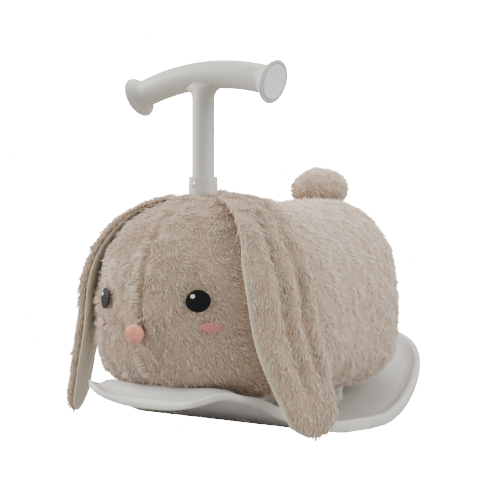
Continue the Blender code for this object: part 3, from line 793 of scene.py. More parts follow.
@dataclass
class StuffedLoaf:
    """The rabbit's whole rounded body, from which head and body are taken."""

    front: float = 0.216
    rear: float = 0.213
    half_width: float = 0.145
    bottom: float = 0.050
    top: float = 0.270
    face_power: float = 2.9
    face_plan_power: float = 2.0
    rump_power: float = 3.6
    rump_plan_power: float = 2.4
    waist_share: float = 0.40
    round_power: float = 2.35
    base_power: float = 3.4
    seam_depth: float = 0.0040
    seam_width: float = 0.0055
    seam_gap: float = 0.0002
    groove_depth: float = 0.0040
    groove_width: float = 0.0050
    groove_foot: float = 0.12
    lump: float = 0.0016
    dimple: float = 0.0010
    crease_depth: float = 0.0016
    crease_width: float = 0.006
    crease_place: float = 0.165
    crease_wander: float = 0.008
    mound_height: float = 0.0065
    mound_radius: float = 0.032
    segments: int = 120
    rings: int = 84
    stations: Table = (
        (-1.00, 1.01, -0.09, 0.86),
        (-0.70, 1.02, -0.085, 1.05),
        (-0.40, 1.01, -0.07, 1.04),
        (-0.15, 0.99, -0.065, 1.00),
        (0.10, 0.965, -0.075, 0.97),
        (0.35, 0.99, -0.085, 0.955),
        (0.60, 1.05, -0.09, 0.945),
        (1.00, 1.16, -0.06, 0.91),
    )

    def point(self, place: float, angle: float, out: float = 0.0) -> Vector:
        """A point of the surface.

        Args:
            place: From -1 at the face to 1 at the rump.
            angle: Round the cross-section, from the rabbit's left side upwards.
            out: How far outside the surface it lies.

        Returns:
            The point in the model's frame.
        """
        ahead = place < 0
        power, plan_power = (
            (self.face_power, self.face_plan_power) if ahead else (self.rump_power, self.rump_plan_power)
        )
        full = max(0.0, 1 - abs(place) ** power)
        across, up = superellipse(angle, self.round_power if math.sin(angle) > 0 else self.base_power)
        height = self.top - self.bottom
        top, bottom = (self.bottom + height * read_table(self.stations, place, column) for column in (1, 2))
        middle = mix(bottom, top, self.waist_share)
        reach = (top - middle if up > 0 else middle - bottom) * full ** (1 / power) + out
        half_width = self.half_width * read_table(self.stations, place, 3) * full ** (1 / plan_power) + out
        length = (self.front if ahead else self.rear) + out
        return Vector((half_width * across, length * place, middle + reach * up))

    def outward(self, place: float, angle: float) -> Vector:
        """The direction straight out of the surface at a place and an angle."""
        along = self.point(place + 0.01, angle) - self.point(place - 0.01, angle)
        return along.cross(self.point(place, angle + 0.01) - self.point(place, angle - 0.01)).normalized()

    def form(self, out: float = 0.0) -> Form:
        """The loaf as one closed mesh.

        Args:
            out: How far it is grown.

        Returns:
            The form.
        """
        form = ball(self.segments, self.rings)
        for vertex in form.verts:
            x, y, z = vertex.co
            along, _ = superellipse(math.acos(clamped(z, -1.0)), self.face_power)
            vertex.co = self.point(clamped(along, -1.0), math.atan2(y, x), out)
        return close_and_face_out(form)

    def tree(self) -> BVHTree:
        """The surface, ready for rays.

        Returns:
            The tree.
        """
        surface = self.form()
        tree = BVHTree.FromBMesh(surface)
        surface.free()
        return tree

    def stuffing(self, at: Vector) -> float:
        """How far the stuffing swells or dents the surface, with its seams drawn in.

        Args:
            at: A point of the surface.

        Returns:
            How far it moves outwards.
        """
        swell = self.lump * noise.noise(at * 26.0) + self.dimple * noise.noise(at * 70.0 + Vector((3, 1, 7)))
        swell -= self.seam_depth * bell(at.y - STEM_PLACE, self.seam_width)
        if at.y < STEM_PLACE and at.z > self.groove_foot:
            swell -= self.groove_depth * bell(at.x, self.groove_width)
        if at.y > 0.02:
            lean = at.y * 0.75 + at.z * 0.66 + self.crease_wander * noise.noise(at * 14.0)
            flank = smooth_step((abs(at.x) - 0.06) / 0.05)
            swell -= self.crease_depth * bell(lean - self.crease_place, self.crease_width) * flank
        if at.z > CROWN_HEIGHT:
            beside = at.xy - Vector((0, STEM_PLACE))
            swell += self.mound_height * math.exp(-(beside.length_squared / self.mound_radius**2))
        return swell

    def half(self, front: bool) -> Form:
        """The head or the body, closed at the seam between them.

        Args:
            front: Whether it is the head.

        Returns:
            The form.
        """
        form = self.form(-PILE_DEPTH)
        side = -1 if front else 1
        rim = sliced(form, (0, STEM_PLACE + side * self.seam_gap, 0), (0, -side, 0), True)
        form.normal_update()
        for vertex in form.verts:
            vertex.co = vertex.co + vertex.normal * self.stuffing(vertex.co)
        bmesh.ops.holes_fill(form, edges=rim)
        return close_and_face_out(form)


def brushed(coat: Coat, at: Vector, normal: Vector) -> Vector:
    """Which way the pile lies.

    Args:
        coat: The part it grows on.
        at: Where.
        normal: The surface's direction there.

    Returns:
        A vector along the surface.
    """
    side = 1.0 if at.x > 0 else -1.0
    crown = at.z > CROWN_HEIGHT
    if coat is Coat.HEAD:
        way = Vector((at.x * 3.5, (at.y + 0.21) * 3.0, (at.z - 0.14) * 2.5 - 0.25))
        if crown:
            way = Vector((at.x * 4.0 + side * 0.05, -0.5, -0.6))
        way.x += side * 1.3 * bell(at.x, 0.007)
    elif coat is Coat.BODY:
        way = Vector((side * 0.25, 0.55, -0.75))
    elif coat is Coat.EAR:
        way = Vector((side * 0.30, -0.22, -1.0)) if crown else Vector((0.0, -0.20, -1.0))
    else:
        way = Vector((0.3, 0.6, -0.4))
    way = way - normal * way.dot(normal)
    return way.normalized() if way.length > 1e-4 else Vector((0, 0.7, -0.7))


@dataclass
class Pile:
    """Short pile planted on a sewn part as real curved tufts."""

    material: Material
    length: float = 0.0074
    width: float = 0.0010
    bend: float = 0.34
    belly: float = 1.55
    shortest: float = 0.72
    longest: float = 1.15
    looseness: float = 0.28
    standing: float = 0.50
    clumps: float = 78.0
    crowding: float = 1.4

    def tuft(self) -> Piece:
        """One tuft, standing on Z and bent away from X, a metre long before it is scaled.

        Returns:
            The hidden tuft.
        """
        form = bmesh.new()
        bmesh.ops.create_cone(form, cap_ends=False, segments=3, radius1=0.5, radius2=0.0, depth=1.0)
        bmesh.ops.remove_doubles(form, verts=form.verts, dist=1e-4)
        sliced(form, (0, 0, 0.02))
        # The height up the tuft, along which the pile's finish paints shade towards the root.
        layer = form.verts.layers.float.new("pile_height")
        for vertex in form.verts:
            height = vertex.co.z + 0.5
            vertex[layer] = height
            fat = self.belly if 0.2 < height < 0.8 else 1.0
            curve = self.bend * (height - height * height)
            vertex.co.x = vertex.co.x * fat * self.width / self.length + curve
            vertex.co.y = vertex.co.y * fat * self.width / self.length
            vertex.co.z = height
        bmesh.ops.triangulate(form, faces=form.faces)
        helper = make_piece("tuft_helper", form, self.material, 180)
        helper.hide_render = True
        return helper

    def planting(self, coat: Coat, spacing: float, keep_off: Piece | None, off: float) -> bpy.types.NodeTree:
        """The node tree that plants the tufts over a mesh that carries a lie attribute.

        Args:
            coat: Which brushing to use.
            spacing: The distance between tufts.
            keep_off: A shape that no tuft grows near.
            off: How near.

        Returns:
            The geometry node tree.
        """
        tree = bpy.data.node_groups.new(f"{coat.value}_planting", "GeometryNodeTree")
        for way in ("INPUT", "OUTPUT"):
            tree.interface.new_socket("Geometry", in_out=way, socket_type="NodeSocketGeometry")

        def add(kind: str, inputs: Inputs = None, **settings: object) -> bpy.types.Node:
            """Add a node to the tree."""
            return add_node(tree, kind, inputs, **settings)

        def vector(operation: str, first: Socket, second: Socket | Point | float) -> Socket:
            """A vector maths step, whose second value is a number where it scales."""
            values = {0: first, "Scale" if isinstance(second, float) else 1: second}
            return add("ShaderNodeVectorMath", values, operation=operation).outputs[0]

        def drift(scale: float, amount: float) -> Socket:
            """Noise about zero along the three axes."""
            made = add("ShaderNodeTexNoise", {"Vector": position, "Scale": scale, "Detail": 1.0})
            return vector("SCALE", vector("SUBTRACT", made.outputs["Color"], (0.5, 0.5, 0.5)), amount)

        mesh = add("NodeGroupInput").outputs[0]
        position = add("GeometryNodeInputPosition").outputs["Position"]
        values = {"Mesh": mesh, "Distance Min": spacing, "Density Max": self.crowding / spacing**2, "Seed": 7}
        scatter = add("GeometryNodeDistributePointsOnFaces", values, distribute_method="POISSON")
        normal = scatter.outputs["Normal"]

        lie = add("GeometryNodeInputNamedAttribute", {"Name": "lie"}, data_type="FLOAT_VECTOR")
        spread = {"Min": (-self.looseness,) * 3, "Max": (self.looseness,) * 3}
        loose = add("FunctionNodeRandomValue", spread, data_type="FLOAT_VECTOR")
        way = vector("ADD", lie.outputs["Attribute"], drift(70.0, 1.5))
        way = vector("ADD", way, drift(210.0, 1.1))
        way = vector("ADD", way, loose.outputs["Value"])
        way = vector("ADD", way, vector("SCALE", normal, self.standing))
        stand = add("FunctionNodeAlignRotationToVector", {"Vector": way}, axis="Z")
        turned = {"Rotation": stand.outputs["Rotation"], "Vector": normal}
        roll = add("FunctionNodeAlignRotationToVector", turned, axis="X", pivot_axis="Z")

        lengths = {2: self.length * self.shortest, 3: self.length * self.longest, "Seed": 3}
        size = add("FunctionNodeRandomValue", lengths, data_type="FLOAT")
        clump = add("ShaderNodeTexNoise", {"Vector": position, "Scale": self.clumps, "Distortion": 0.8})
        share = {"Value": clump.outputs["Fac"], "From Min": 0.38, "From Max": 0.60}
        stretch = add("ShaderNodeMapRange", share | {"To Min": 0.50, "To Max": 1.16})
        both = {0: size.outputs[1], 1: stretch.outputs["Result"]}
        grown = add("ShaderNodeMath", both, operation="MULTIPLY")

        plants = {
            "Points": scatter.outputs["Points"],
            "Instance": add("GeometryNodeObjectInfo", {"Object": self.tuft()}).outputs["Geometry"],
            "Rotation": roll.outputs["Rotation"],
            "Scale": grown.outputs[0],
        }
        if keep_off:
            shape = add("GeometryNodeObjectInfo", {"Object": keep_off}).outputs["Geometry"]
            near = add("GeometryNodeProximity", {0: shape}).outputs["Distance"]
            far = add("FunctionNodeCompare", {0: near, 1: off}, data_type="FLOAT", operation="GREATER_THAN")
            plants["Selection"] = far.outputs["Result"]
        planted = add("GeometryNodeInstanceOnPoints", plants).outputs["Instances"]
        real = add("GeometryNodeRealizeInstances", {"Geometry": planted}).outputs["Geometry"]
        add("NodeGroupOutput", {0: real})
        return tree

    def grow(
        self,
        name: str,
        backing: Piece,
        coat: Coat,
        spacing: float = PILE_SPACING,
        where: Where | None = None,
        keep_off: Piece | None = None,
        off: float = 0.0,
    ) -> Piece:
        """Grow a piece of pile over a backing.

        Args:
            name: The pile's name.
            backing: The sewn part under it.
            coat: How it is brushed.
            spacing: The distance between tufts.
            where: Says of a face's middle and normal whether pile grows there.
            keep_off: A shape that no tuft grows near.
            off: How near.

        Returns:
            The pile as one mesh object.
        """
        form = bmesh.new()
        form.from_mesh(backing.data)
        if where:
            bare = [face for face in form.faces if not where(face.calc_center_median(), face.normal)]
            bmesh.ops.delete(form, geom=bare, context="FACES")
        mesh = bpy.data.meshes.new(name)
        form.to_mesh(mesh)
        form.free()
        lie = mesh.attributes.new("lie", "FLOAT_VECTOR", "POINT")
        for vertex, item in zip(mesh.vertices, lie.data):
            item.vector = brushed(coat, vertex.co, vertex.normal)
        piece = bpy.data.objects.new(name, mesh)
        bpy.context.scene.collection.objects.link(piece)
        piece.modifiers.new("planting", "NODES").node_group = self.planting(coat, spacing, keep_off, off)
        bake_modifiers(piece)
        piece.data.shade_smooth()
        return piece


# The sewn pieces


@dataclass
class Ear:
    """One long ear, hanging from its sewn root beside the collar."""

    side: Side
    loaf: StuffedLoaf
    root_angle: float = math.radians(79)
    length_down: float = 0.116
    splay: float = 0.030
    forward_run: float = 0.038
    half_width: float = 0.038
    thickness: float = 0.015
    lining: float = 0.003
    lining_gap: float = 0.0002
    lining_lap: float = 0.0012
    lining_flat_share: float = 0.6
    lining_proud: float = 0.0004
    lining_tuck: float = 0.0065
    tuck_end: float = 0.24
    tuck_run: float = 0.14
    plush_trim: float = 0.0030
    pile_gap: float = 0.0012
    arc_share: float = 0.56
    body_gap: float = 0.0010
    root_sink: float = 0.0050
    root_run: float = 0.16
    round_power: float = 2.6
    main_fold: float = 0.0060
    rear_fold: float = 0.0048
    pucker: float = 0.0012
    segments: int = 44
    rings: int = 78
    sweep_blend: float = 0.05
    smooth_span: float = 0.07
    sweeps: Table = ((0.00, 0.00), (0.10, 0.25), (0.25, 0.82), (0.40, 1.00), (0.56, 0.95), (1.00, 0.66))
    widths: Table = (
        (0.00, 0.58, 0.20),
        (0.14, 0.74, 0.46),
        (0.28, 0.90, 0.78),
        (0.44, 1.00, 1.00),
        (0.62, 1.00, 1.00),
        (0.74, 0.94, 1.00),
        (0.84, 0.84, 1.00),
        (0.92, 0.75, 0.95),
        (1.00, 0.66, 0.80),
    )

    def swept(self, share: float) -> float:
        """How far the ear has swept forward at a share of its length, with the table's corners rounded."""
        near = (share - self.sweep_blend, share, share + self.sweep_blend)
        return self.forward_run * sum(read_table(self.sweeps, clamped(at), 1) for at in near) / len(near)

    def spine(self) -> tuple[list[Vector], list[Vector]]:
        """Points from the root down to the tip, and the direction out of the rabbit at each.

        Returns:
            The points and the directions.
        """
        points, outwards = [], []
        mirror = Vector((self.side.value, 1, 1))
        for step in range(self.rings + 1):
            share = step / self.rings
            y = STEM_PLACE - self.swept(share)
            place = y / self.loaf.front
            angle = self.root_angle * max(0.0, 1 - share / self.arc_share)
            down = max(0.0, share - self.arc_share) / (1 - self.arc_share)
            hang = Vector((self.splay, 0, -self.length_down)) * down
            at = self.loaf.point(place, angle, self.body_gap) + hang
            out = self.loaf.outward(place, angle)
            at = at - out * self.root_sink * max(0.0, 1 - share / self.root_run)
            points.append(Vector((at.x, y, at.z)) * mirror)
            outwards.append(out * mirror)
        for _ in range(round((self.smooth_span * self.rings) ** 2 / 1.1)):
            points, outwards = smoothed(points), smoothed(outwards)
        return points, outwards

    def folds(self, front: float, share: float, at: Vector) -> float:
        """How far the outer side sinks into its lengthwise folds.

        Args:
            front: Across the ear, from -1 at its rear edge to 1 at its front edge.
            share: Along the ear from root to tip.
            at: The place, for unevenness.

        Returns:
            The depth.
        """
        wander = 0.10 * noise.noise(at * 22.0)
        long = smooth_step(share / 0.25) * smooth_step((0.93 - share) / 0.2)
        main = self.main_fold * bell(front - 0.10 + wander, 0.14)
        rear = self.rear_fold * bell(front + 0.52 + wander, 0.15)
        return (main + rear) * long

    def layer(self, inner: float, outer: float, trim: float, flat_share: float, folded: bool) -> Form:
        """One layer of the ear.

        Args:
            inner: Its near side's distance from the rabbit.
            outer: Its far side's distance.
            trim: How far its edge is drawn in.
            flat_share: Which of its sides stays flat, 0 for the near one.
            folded: Whether it is the plush, whose far side sinks into folds, and not the lining.

        Returns:
            The closed form.
        """
        spine, outwards = self.spine()
        form = ball(self.segments, self.rings)
        for vertex in form.verts:
            x, y, z = vertex.co
            polar = math.acos(clamped(z, -1.0))
            share = polar / math.pi
            index = round(share * self.rings)
            at = spine[index]
            tangent = (spine[min(index + 1, self.rings)] - spine[max(index - 1, 0)]).normalized()
            outward = outwards[index]
            outward = (outward - tangent * outward.dot(tangent)).normalized()
            across = outward.cross(tangent).normalized() * self.side.value
            round_end = min(1.0, math.sin(polar) * 5.0) ** 0.5
            along, up = superellipse(math.atan2(y, x), self.round_power)
            untucked = smooth_step((share - self.tuck_end) / self.tuck_run)
            tucked = 0.0 if folded else self.lining_tuck * (1 - untucked)
            half_width = (self.half_width * read_table(self.widths, share, 1) - trim - tucked) * round_end
            flat = mix(inner, outer, flat_share)
            rise = mix(inner, outer, (1 + up) / 2) - flat
            rise = rise * max(round_end, 0.25) * read_table(self.widths, share, 2)
            if folded and up > 0:
                front = -along if across.y > 0 else along
                rise -= self.folds(front, share, at) * smooth_step(up / 0.6)
                rise += self.pucker * noise.noise(at * 30.0 + Vector((along, 0, 0)))
            vertex.co = at + across * along * half_width + outward * (flat + rise)
        return close_and_face_out(form)

    def build(self, finishes: Finishes, pile: Pile) -> list[Piece]:
        """Sew the ear.

        Args:
            finishes: The toy's finishes.
            pile: The pile that covers its outer side.

        Returns:
            The lining and the backing, which other pile keeps off.
        """
        body = f"{self.side.word}_ear"
        top = self.lining + self.lining_lap
        under = (self.lining_gap, top, -self.lining_proud, self.lining_flat_share, False)
        over = (self.lining, self.lining + self.thickness - PILE_DEPTH, self.plush_trim, 0.0, True)
        lining = make_piece(f"{body}_velour", self.layer(*under), finishes.velour, SEWN_ANGLE)
        backing = make_piece(f"{body}_plush", self.layer(*over), finishes.backing, SEWN_ANGLE)
        tufts = pile.grow(f"{body}_pile", backing, Coat.EAR, keep_off=lining, off=self.pile_gap)
        hang_on(lining, body, "cream_velour", f"{body}_lining")
        hang_on(backing, body, "taupe_plush", body)
        hang_on(tufts, body, "taupe_plush", body)
        return [lining, backing]


@dataclass
class Face:
    """The stitched eyes and cheeks and the pompom nose."""

    loaf: StuffedLoaf
    eye_radius: float = 0.0115
    eye_spread: float = 0.0640
    eye_height: float = 0.152
    eye_crown: float = 0.0010
    glint_radius: float = 0.0021
    glint_aside: float = 0.0047
    glint_up: float = 0.0046
    glint_crown: float = 0.0005
    glint_lift: float = 0.0010
    cheek: tuple[float, float] = (0.0100, 0.0051)
    cheek_spread: float = 0.0760
    cheek_height: float = 0.125
    cheek_crown: float = 0.0008
    patch_root: float = 0.003
    ragged_share: float = 0.018
    nose_radius: float = 0.0100
    nose_height: float = 0.117
    nose_proud: float = 0.0050
    nose_fuzz: float = 0.0006
    fuzz_spacing: float = 0.00052

    def __post_init__(self) -> None:
        """Make the head's surface ready for rays."""
        self.surface = self.loaf.tree()

    def on_face(self, x: float, z: float) -> tuple[Vector, Vector]:
        """The face's surface straight behind a point, and its direction there."""
        point, normal, _, _ = self.surface.ray_cast(Vector((x, -0.5, z)), Vector((0, 1, 0)))
        return point, normal

    def patch(
        self,
        name: str,
        place: tuple[float, float],
        size: tuple[float, float],
        crown: float,
        finish: Material,
        lift: float = 0.0,
    ) -> Piece:
        """A domed stitched patch that follows the head's surface.

        Args:
            name: The piece's name.
            place: Its middle across the face and its middle's height.
            size: Half its width and half its height.
            crown: How far its middle stands above its edge.
            finish: Its stitching.
            lift: How far its edge stands above the head.

        Returns:
            The patch.
        """
        x, z = place
        form = ball(56, 28)
        for vertex in form.verts:
            across, up, out = vertex.co
            turn = math.atan2(up, across)
            ragged = 1 + self.ragged_share * noise.noise(Vector((turn * 7, x * 90, z * 40)))
            point, normal = self.on_face(x + across * size[0] * ragged, z + up * size[1] * ragged)
            vertex.co = point + normal * (lift + (crown if out > 0 else self.patch_root) * out)
        return make_piece(name, close_and_face_out(form), finish, SEWN_ANGLE)

    def build(self, finishes: Finishes, fuzz: Pile) -> list[Piece]:
        """Stitch the face.

        Args:
            finishes: The toy's finishes.
            fuzz: The nose's short fuzz.

        Returns:
            The pieces that pile keeps off.
        """
        shown = []
        for side in Side:
            word = side.word
            at = (side.value * self.eye_spread, self.eye_height)
            size = (self.eye_radius, self.eye_radius)
            eye = self.patch(f"{word}_eye_stitching", at, size, self.eye_crown, finishes.black)
            at = (at[0] - self.glint_aside, at[1] + self.glint_up)
            size = (self.glint_radius, self.glint_radius)
            name = f"{word}_eye_highlight"
            glint = self.patch(name, at, size, self.glint_crown, finishes.white, self.glint_lift)
            at = (side.value * self.cheek_spread, self.cheek_height)
            cheek = self.patch(f"{word}_cheek_stitching", at, self.cheek, self.cheek_crown, finishes.pink)
            hang_on(eye, "base", "black_thread", f"{word}_eye")
            hang_on(glint, "base", "black_thread", f"{word}_eye")
            hang_on(cheek, "base", "pink_thread", f"{word}_cheek")
            shown += [eye, cheek]
        centre = self.on_face(0, self.nose_height)[0] - Vector((0, self.nose_proud, 0))
        form = close_and_face_out(ball(48, 32, self.nose_radius - self.nose_fuzz, centre))
        nose = make_piece("nose_pompom", form, finishes.coral, SEWN_ANGLE)
        fluff = fuzz.grow("nose_fuzz", nose, Coat.NOSE, self.fuzz_spacing)
        hang_on(nose, "base", "coral_felt", "nose")
        hang_on(fluff, "base", "coral_felt", "nose")
        return shown + [nose]


@dataclass
class SewnBody:
    """The stuffed head and body and the tail."""

    loaf: StuffedLoaf
    tail_place: float = 0.150
    tail_half_width: float = 0.040
    tail_half_height: float = 0.031
    tail_sink_share: float = 0.64
    tail_pinch: float = 0.05
    bare_foot: float = 0.046
    bare_seam: float = 0.0008
    end_depth: float = 0.008
    end_facing: float = 0.95
    pile_gap: float = 0.0009
    pile_split: float = 0.05

    def tail_form(self) -> Form:
        """The round tail, pinched where it is sewn down.

        Returns:
            The closed form.
        """
        top, _, _, _ = self.loaf.tree().ray_cast(Vector((0, self.tail_place, 0.6)), Vector((0, 0, -1)))
        centre = top + Vector((0, 0, self.tail_half_height * (1 - self.tail_sink_share)))
        size = Vector((self.tail_half_width, self.tail_half_width, self.tail_half_height))
        size -= Vector((1, 1, 1)) * PILE_DEPTH
        form = ball(72, 48)
        for vertex in form.verts:
            bump = 1 + self.tail_pinch * noise.noise(vertex.co * 2.2)
            bump -= self.tail_pinch * bell(vertex.co.z + 0.55, 0.25)
            vertex.co = centre + Vector([c * s * bump for c, s in zip(vertex.co, size)])
        return close_and_face_out(form)

    def covered(self, at: Vector, normal: Vector) -> bool:
        """Whether pile grows on a face.

        Args:
            at: The face's middle.
            normal: Its direction.

        Returns:
            False in the seam, on the end hidden behind it and on the flat underside.
        """
        beside = abs(at.y - STEM_PLACE)
        hidden_end = beside < self.end_depth and abs(normal.y) > self.end_facing
        return beside > self.bare_seam and not hidden_end and at.z > self.bare_foot

    def build(self, finishes: Finishes, pile: Pile, keep_off: Piece) -> None:
        """Sew head, body and tail and plant their pile.

        Args:
            finishes: The toy's finishes.
            pile: The pile that covers them.
            keep_off: What the pile grows round.
        """
        split = self.pile_split
        quarters: dict[str, Where] = {
            "left": lambda at, normal: at.x > 0.0 and at.y < split and self.covered(at, normal),
            "right": lambda at, normal: at.x <= 0.0 and at.y < split and self.covered(at, normal),
            "left_rear": lambda at, normal: at.x > 0.0 and at.y >= split and self.covered(at, normal),
            "right_rear": lambda at, normal: at.x <= 0.0 and at.y >= split and self.covered(at, normal),
        }
        halves = (("head", Coat.HEAD, ("left", "right")), ("body", Coat.BODY, tuple(quarters)))
        for name, coat, words in halves:
            form = self.loaf.half(coat is Coat.HEAD)
            backing = make_piece(f"{name}_plush", form, finishes.backing, SEWN_ANGLE)
            for word in words:
                piece = f"{name}_pile_{word}"
                tufts = pile.grow(piece, backing, coat, PILE_SPACING, quarters[word], keep_off, self.pile_gap)
                hang_on(tufts, "base", "taupe_plush", f"plush_{name}")
            hang_on(backing, "base", "taupe_plush", f"plush_{name}")
        tail = make_piece("tail_plush", self.tail_form(), finishes.backing, SEWN_ANGLE)
        tufts = pile.grow("tail_pile", tail, Coat.TAIL)
        hang_on(tail, "base", "taupe_plush", "tail")
        hang_on(tufts, "base", "taupe_plush", "tail")


# The moulded pieces


@dataclass
class RockerBoard:
    """The wavy moulded board with its rolled rim and the posts under the seat."""

    thickness: float = 0.005
    front: float = 0.203
    rear: float = 0.290
    half_width: float = 0.153
    rear_rise: float = 0.085
    crest_rise: float = 0.0455
    corner_lift: float = 0.008
    corner_place_share: float = 0.95
    corner_run_share: float = 0.33
    rim_width: float = 0.007
    rim_height: float = 0.0085
    rim_run_share: float = 1.8
    scoop_height: float = 0.0115
    scoop_start: float = 0.62
    scoop_run: float = 0.24
    scoop_edge: float = 0.0060
    scoop_width: float = 0.019
    bead_height: float = 0.0024
    bead_width: float = 0.0042
    bead_fall: float = 0.0016
    round_edge: float = 0.0022
    post_radius: float = 0.0093
    bore_radius: float = 0.0058
    shank_radius: float = 0.0034
    post_top: float = 0.0517
    web: float = 0.004
    overrun: float = 0.02
    under_share: float = 0.8
    steps_between: int = 5
    columns_share: float = 0.8
    columns: tuple[float, ...] = (0.0, 0.0005, 0.0012, 0.0022, 0.0035, 0.0052, 0.0070, 0.0088, 0.0106, 0.0126)
    inner_columns: int = 20
    front_stations: Table = (
        (-1.00, 0.40, 0.80),
        (-0.985, 0.50, 0.87),
        (-0.96, 0.575, 0.96),
        (-0.925, 0.63, 1.00),
        (-0.87, 0.675, 0.94),
        (-0.78, 0.705, 0.86),
        (-0.66, 0.735, 0.67),
        (-0.51, 0.765, 0.43),
        (-0.36, 0.80, 0.20),
        (-0.21, 0.855, 0.07),
        (-0.10, 0.89, 0.00),
        (0.00, 0.925, 0.00),
    )
    rear_stations: Table = (
        (0.00, 0.925, 0.00),
        (0.07, 0.96, 0.00),
        (0.17, 1.00, 0.022),
        (0.28, 0.99, 0.088),
        (0.40, 0.95, 0.18),
        (0.52, 0.895, 0.30),
        (0.64, 0.825, 0.44),
        (0.76, 0.735, 0.59),
        (0.86, 0.615, 0.73),
        (0.93, 0.485, 0.84),
        (0.975, 0.33, 0.93),
        (1.00, 0.12, 1.00),
    )

    def station(self, place: float) -> tuple[float, float]:
        """The board's outline and wave at a place along it.

        Args:
            place: Where, along Y.

        Returns:
            The half width and the underside's rise.
        """
        table, length, rise = self.rear_stations, self.rear, self.rear_rise
        if place < 0:
            table, length, rise = self.front_stations, self.front, self.crest_rise
        share = place / length
        return self.half_width * read_table(table, share, 1), rise * read_table(table, share, 2)

    def places(self) -> list[float]:
        """The rows' places from the front edge to the rear edge.

        Returns:
            The places along Y.
        """
        marks = [share * self.front for share, _, _ in self.front_stations]
        marks += [share * self.rear for share, _, _ in self.rear_stations[1:]]
        steps = range(self.steps_between)
        rows = [mix(a, b, step / self.steps_between) for a, b in zip(marks, marks[1:]) for step in steps]
        return rows + [marks[-1]]

    def edge_distance(self, at: Vector, outline: list[Vector]) -> float:
        """How far a point lies from the board's outline.

        Args:
            at: The point, seen from above.
            outline: The outline's corners.

        Returns:
            The distance.
        """
        least = 1.0
        for a, b in zip(outline, outline[1:] + outline[:1]):
            run = b - a
            share = clamped((at - a).dot(run) / run.length_squared)
            least = min(least, (at - a - run * share).length)
        return least

    def rounding(self, inside: float) -> float:
        """How far the edge's rounding draws a face back, this far inside the outline."""
        near = max(0.0, self.round_edge - inside)
        return self.round_edge - math.sqrt(max(0.0, self.round_edge**2 - near**2))

    def across(self, column: int, half_width: float) -> float:
        """A column's distance from the middle, with the columns close together near the edge.

        Args:
            column: The column, counted from the middle.
            half_width: The board's half width there.

        Returns:
            The distance.
        """
        scale = min(1.0, half_width * self.columns_share / self.columns[-1])
        half = self.inner_columns // 2
        if column >= half:
            return half_width - self.columns[len(self.columns) - 1 - (column - half)] * scale
        return (half_width - self.columns[-1] * scale) * column / half

    def underside(self, rows: list[float]) -> Form:
        """The board's underside as a sheet, with its wave and its lifted front corners.

        Args:
            rows: The rows' places.

        Returns:
            The sheet.
        """
        count = 2 * (self.inner_columns // 2 + len(self.columns) - 1)
        form = bmesh.new()
        bmesh.ops.create_grid(form, x_segments=count, y_segments=len(rows) - 1, size=1.0)
        for vertex in form.verts:
            place = rows[round((vertex.co.y + 1) / 2 * (len(rows) - 1))]
            half_width, rise = self.station(place)
            across = self.across(round(abs(vertex.co.x) * count / 2), half_width)
            past = abs(place / self.front + self.corner_place_share)
            corner = max(0.0, 1 - past / self.corner_run_share)
            lift = self.corner_lift * math.sin(corner * math.pi / 2) * (across / half_width) ** 3
            vertex.co = (math.copysign(across, vertex.co.x), place, rise + lift)
        return form

    def form(self) -> Form:
        """The bare board, before its posts.

        Returns:
            The closed form.
        """
        rows = self.places()
        right = [Vector((self.station(place)[0], place)) for place in rows]
        outline = right + [Vector((-at.x, at.y)) for at in reversed(right)]
        form = self.underside(rows)
        thick = bmesh.ops.extrude_face_region(form, geom=form.faces[:])
        above = {item for item in thick["geom"] if isinstance(item, bmesh.types.BMVert)}
        for vertex in form.verts:
            inside = self.edge_distance(vertex.co.xy, outline)
            scooped = smooth_step((-vertex.co.y / self.front - self.scoop_start) / self.scoop_run)
            swell = scooped * self.scoop_height * smooth_step((inside - self.scoop_edge) / self.scoop_width)
            if vertex in above:
                lip = smooth_step((self.rim_run_share - inside / self.rim_width) / (self.rim_run_share - 1))
                bead = smooth_step((self.bead_width + self.bead_fall - inside) / self.bead_fall)
                edge = mix(self.rim_height * lip, self.bead_height * bead, scooped)
                vertex.co.z += self.thickness + edge + swell - self.rounding(inside)
            else:
                under = self.under_share if vertex.co.z > 0.0 else 0.0
                vertex.co.z += swell + self.rounding(inside) * under
        return close_and_face_out(form)

    def build(self, finishes: Finishes, bolts: list[tuple[float, float]]) -> None:
        """Mould the board and cut its bolt bores.

        Args:
            finishes: The toy's finishes.
            bolts: Where the bolts stand.
        """
        board = make_piece("moulded_board", self.form(), finishes.board, MOULDED_ANGLE)
        posts, bores = [], []
        for x, y in bolts:
            foot = self.station(y)[1] + self.thickness / 2
            posts.append(rod(self.post_radius, (x, y, foot), (x, y, self.post_top)))
            bores.append(rod(self.bore_radius, (x, y, -self.overrun), (x, y, self.post_top - self.web)))
            bores.append(rod(self.shank_radius, (x, y, 0.0), (x, y, self.post_top + self.overrun)))
        carve(board, posts, "UNION")
        carve(board, bores, "DIFFERENCE")
        board.data.set_sharp_from_angle(angle=math.radians(MOULDED_ANGLE))
        hang_on(board, "base", "warm_white_plastic", "rocker_board")


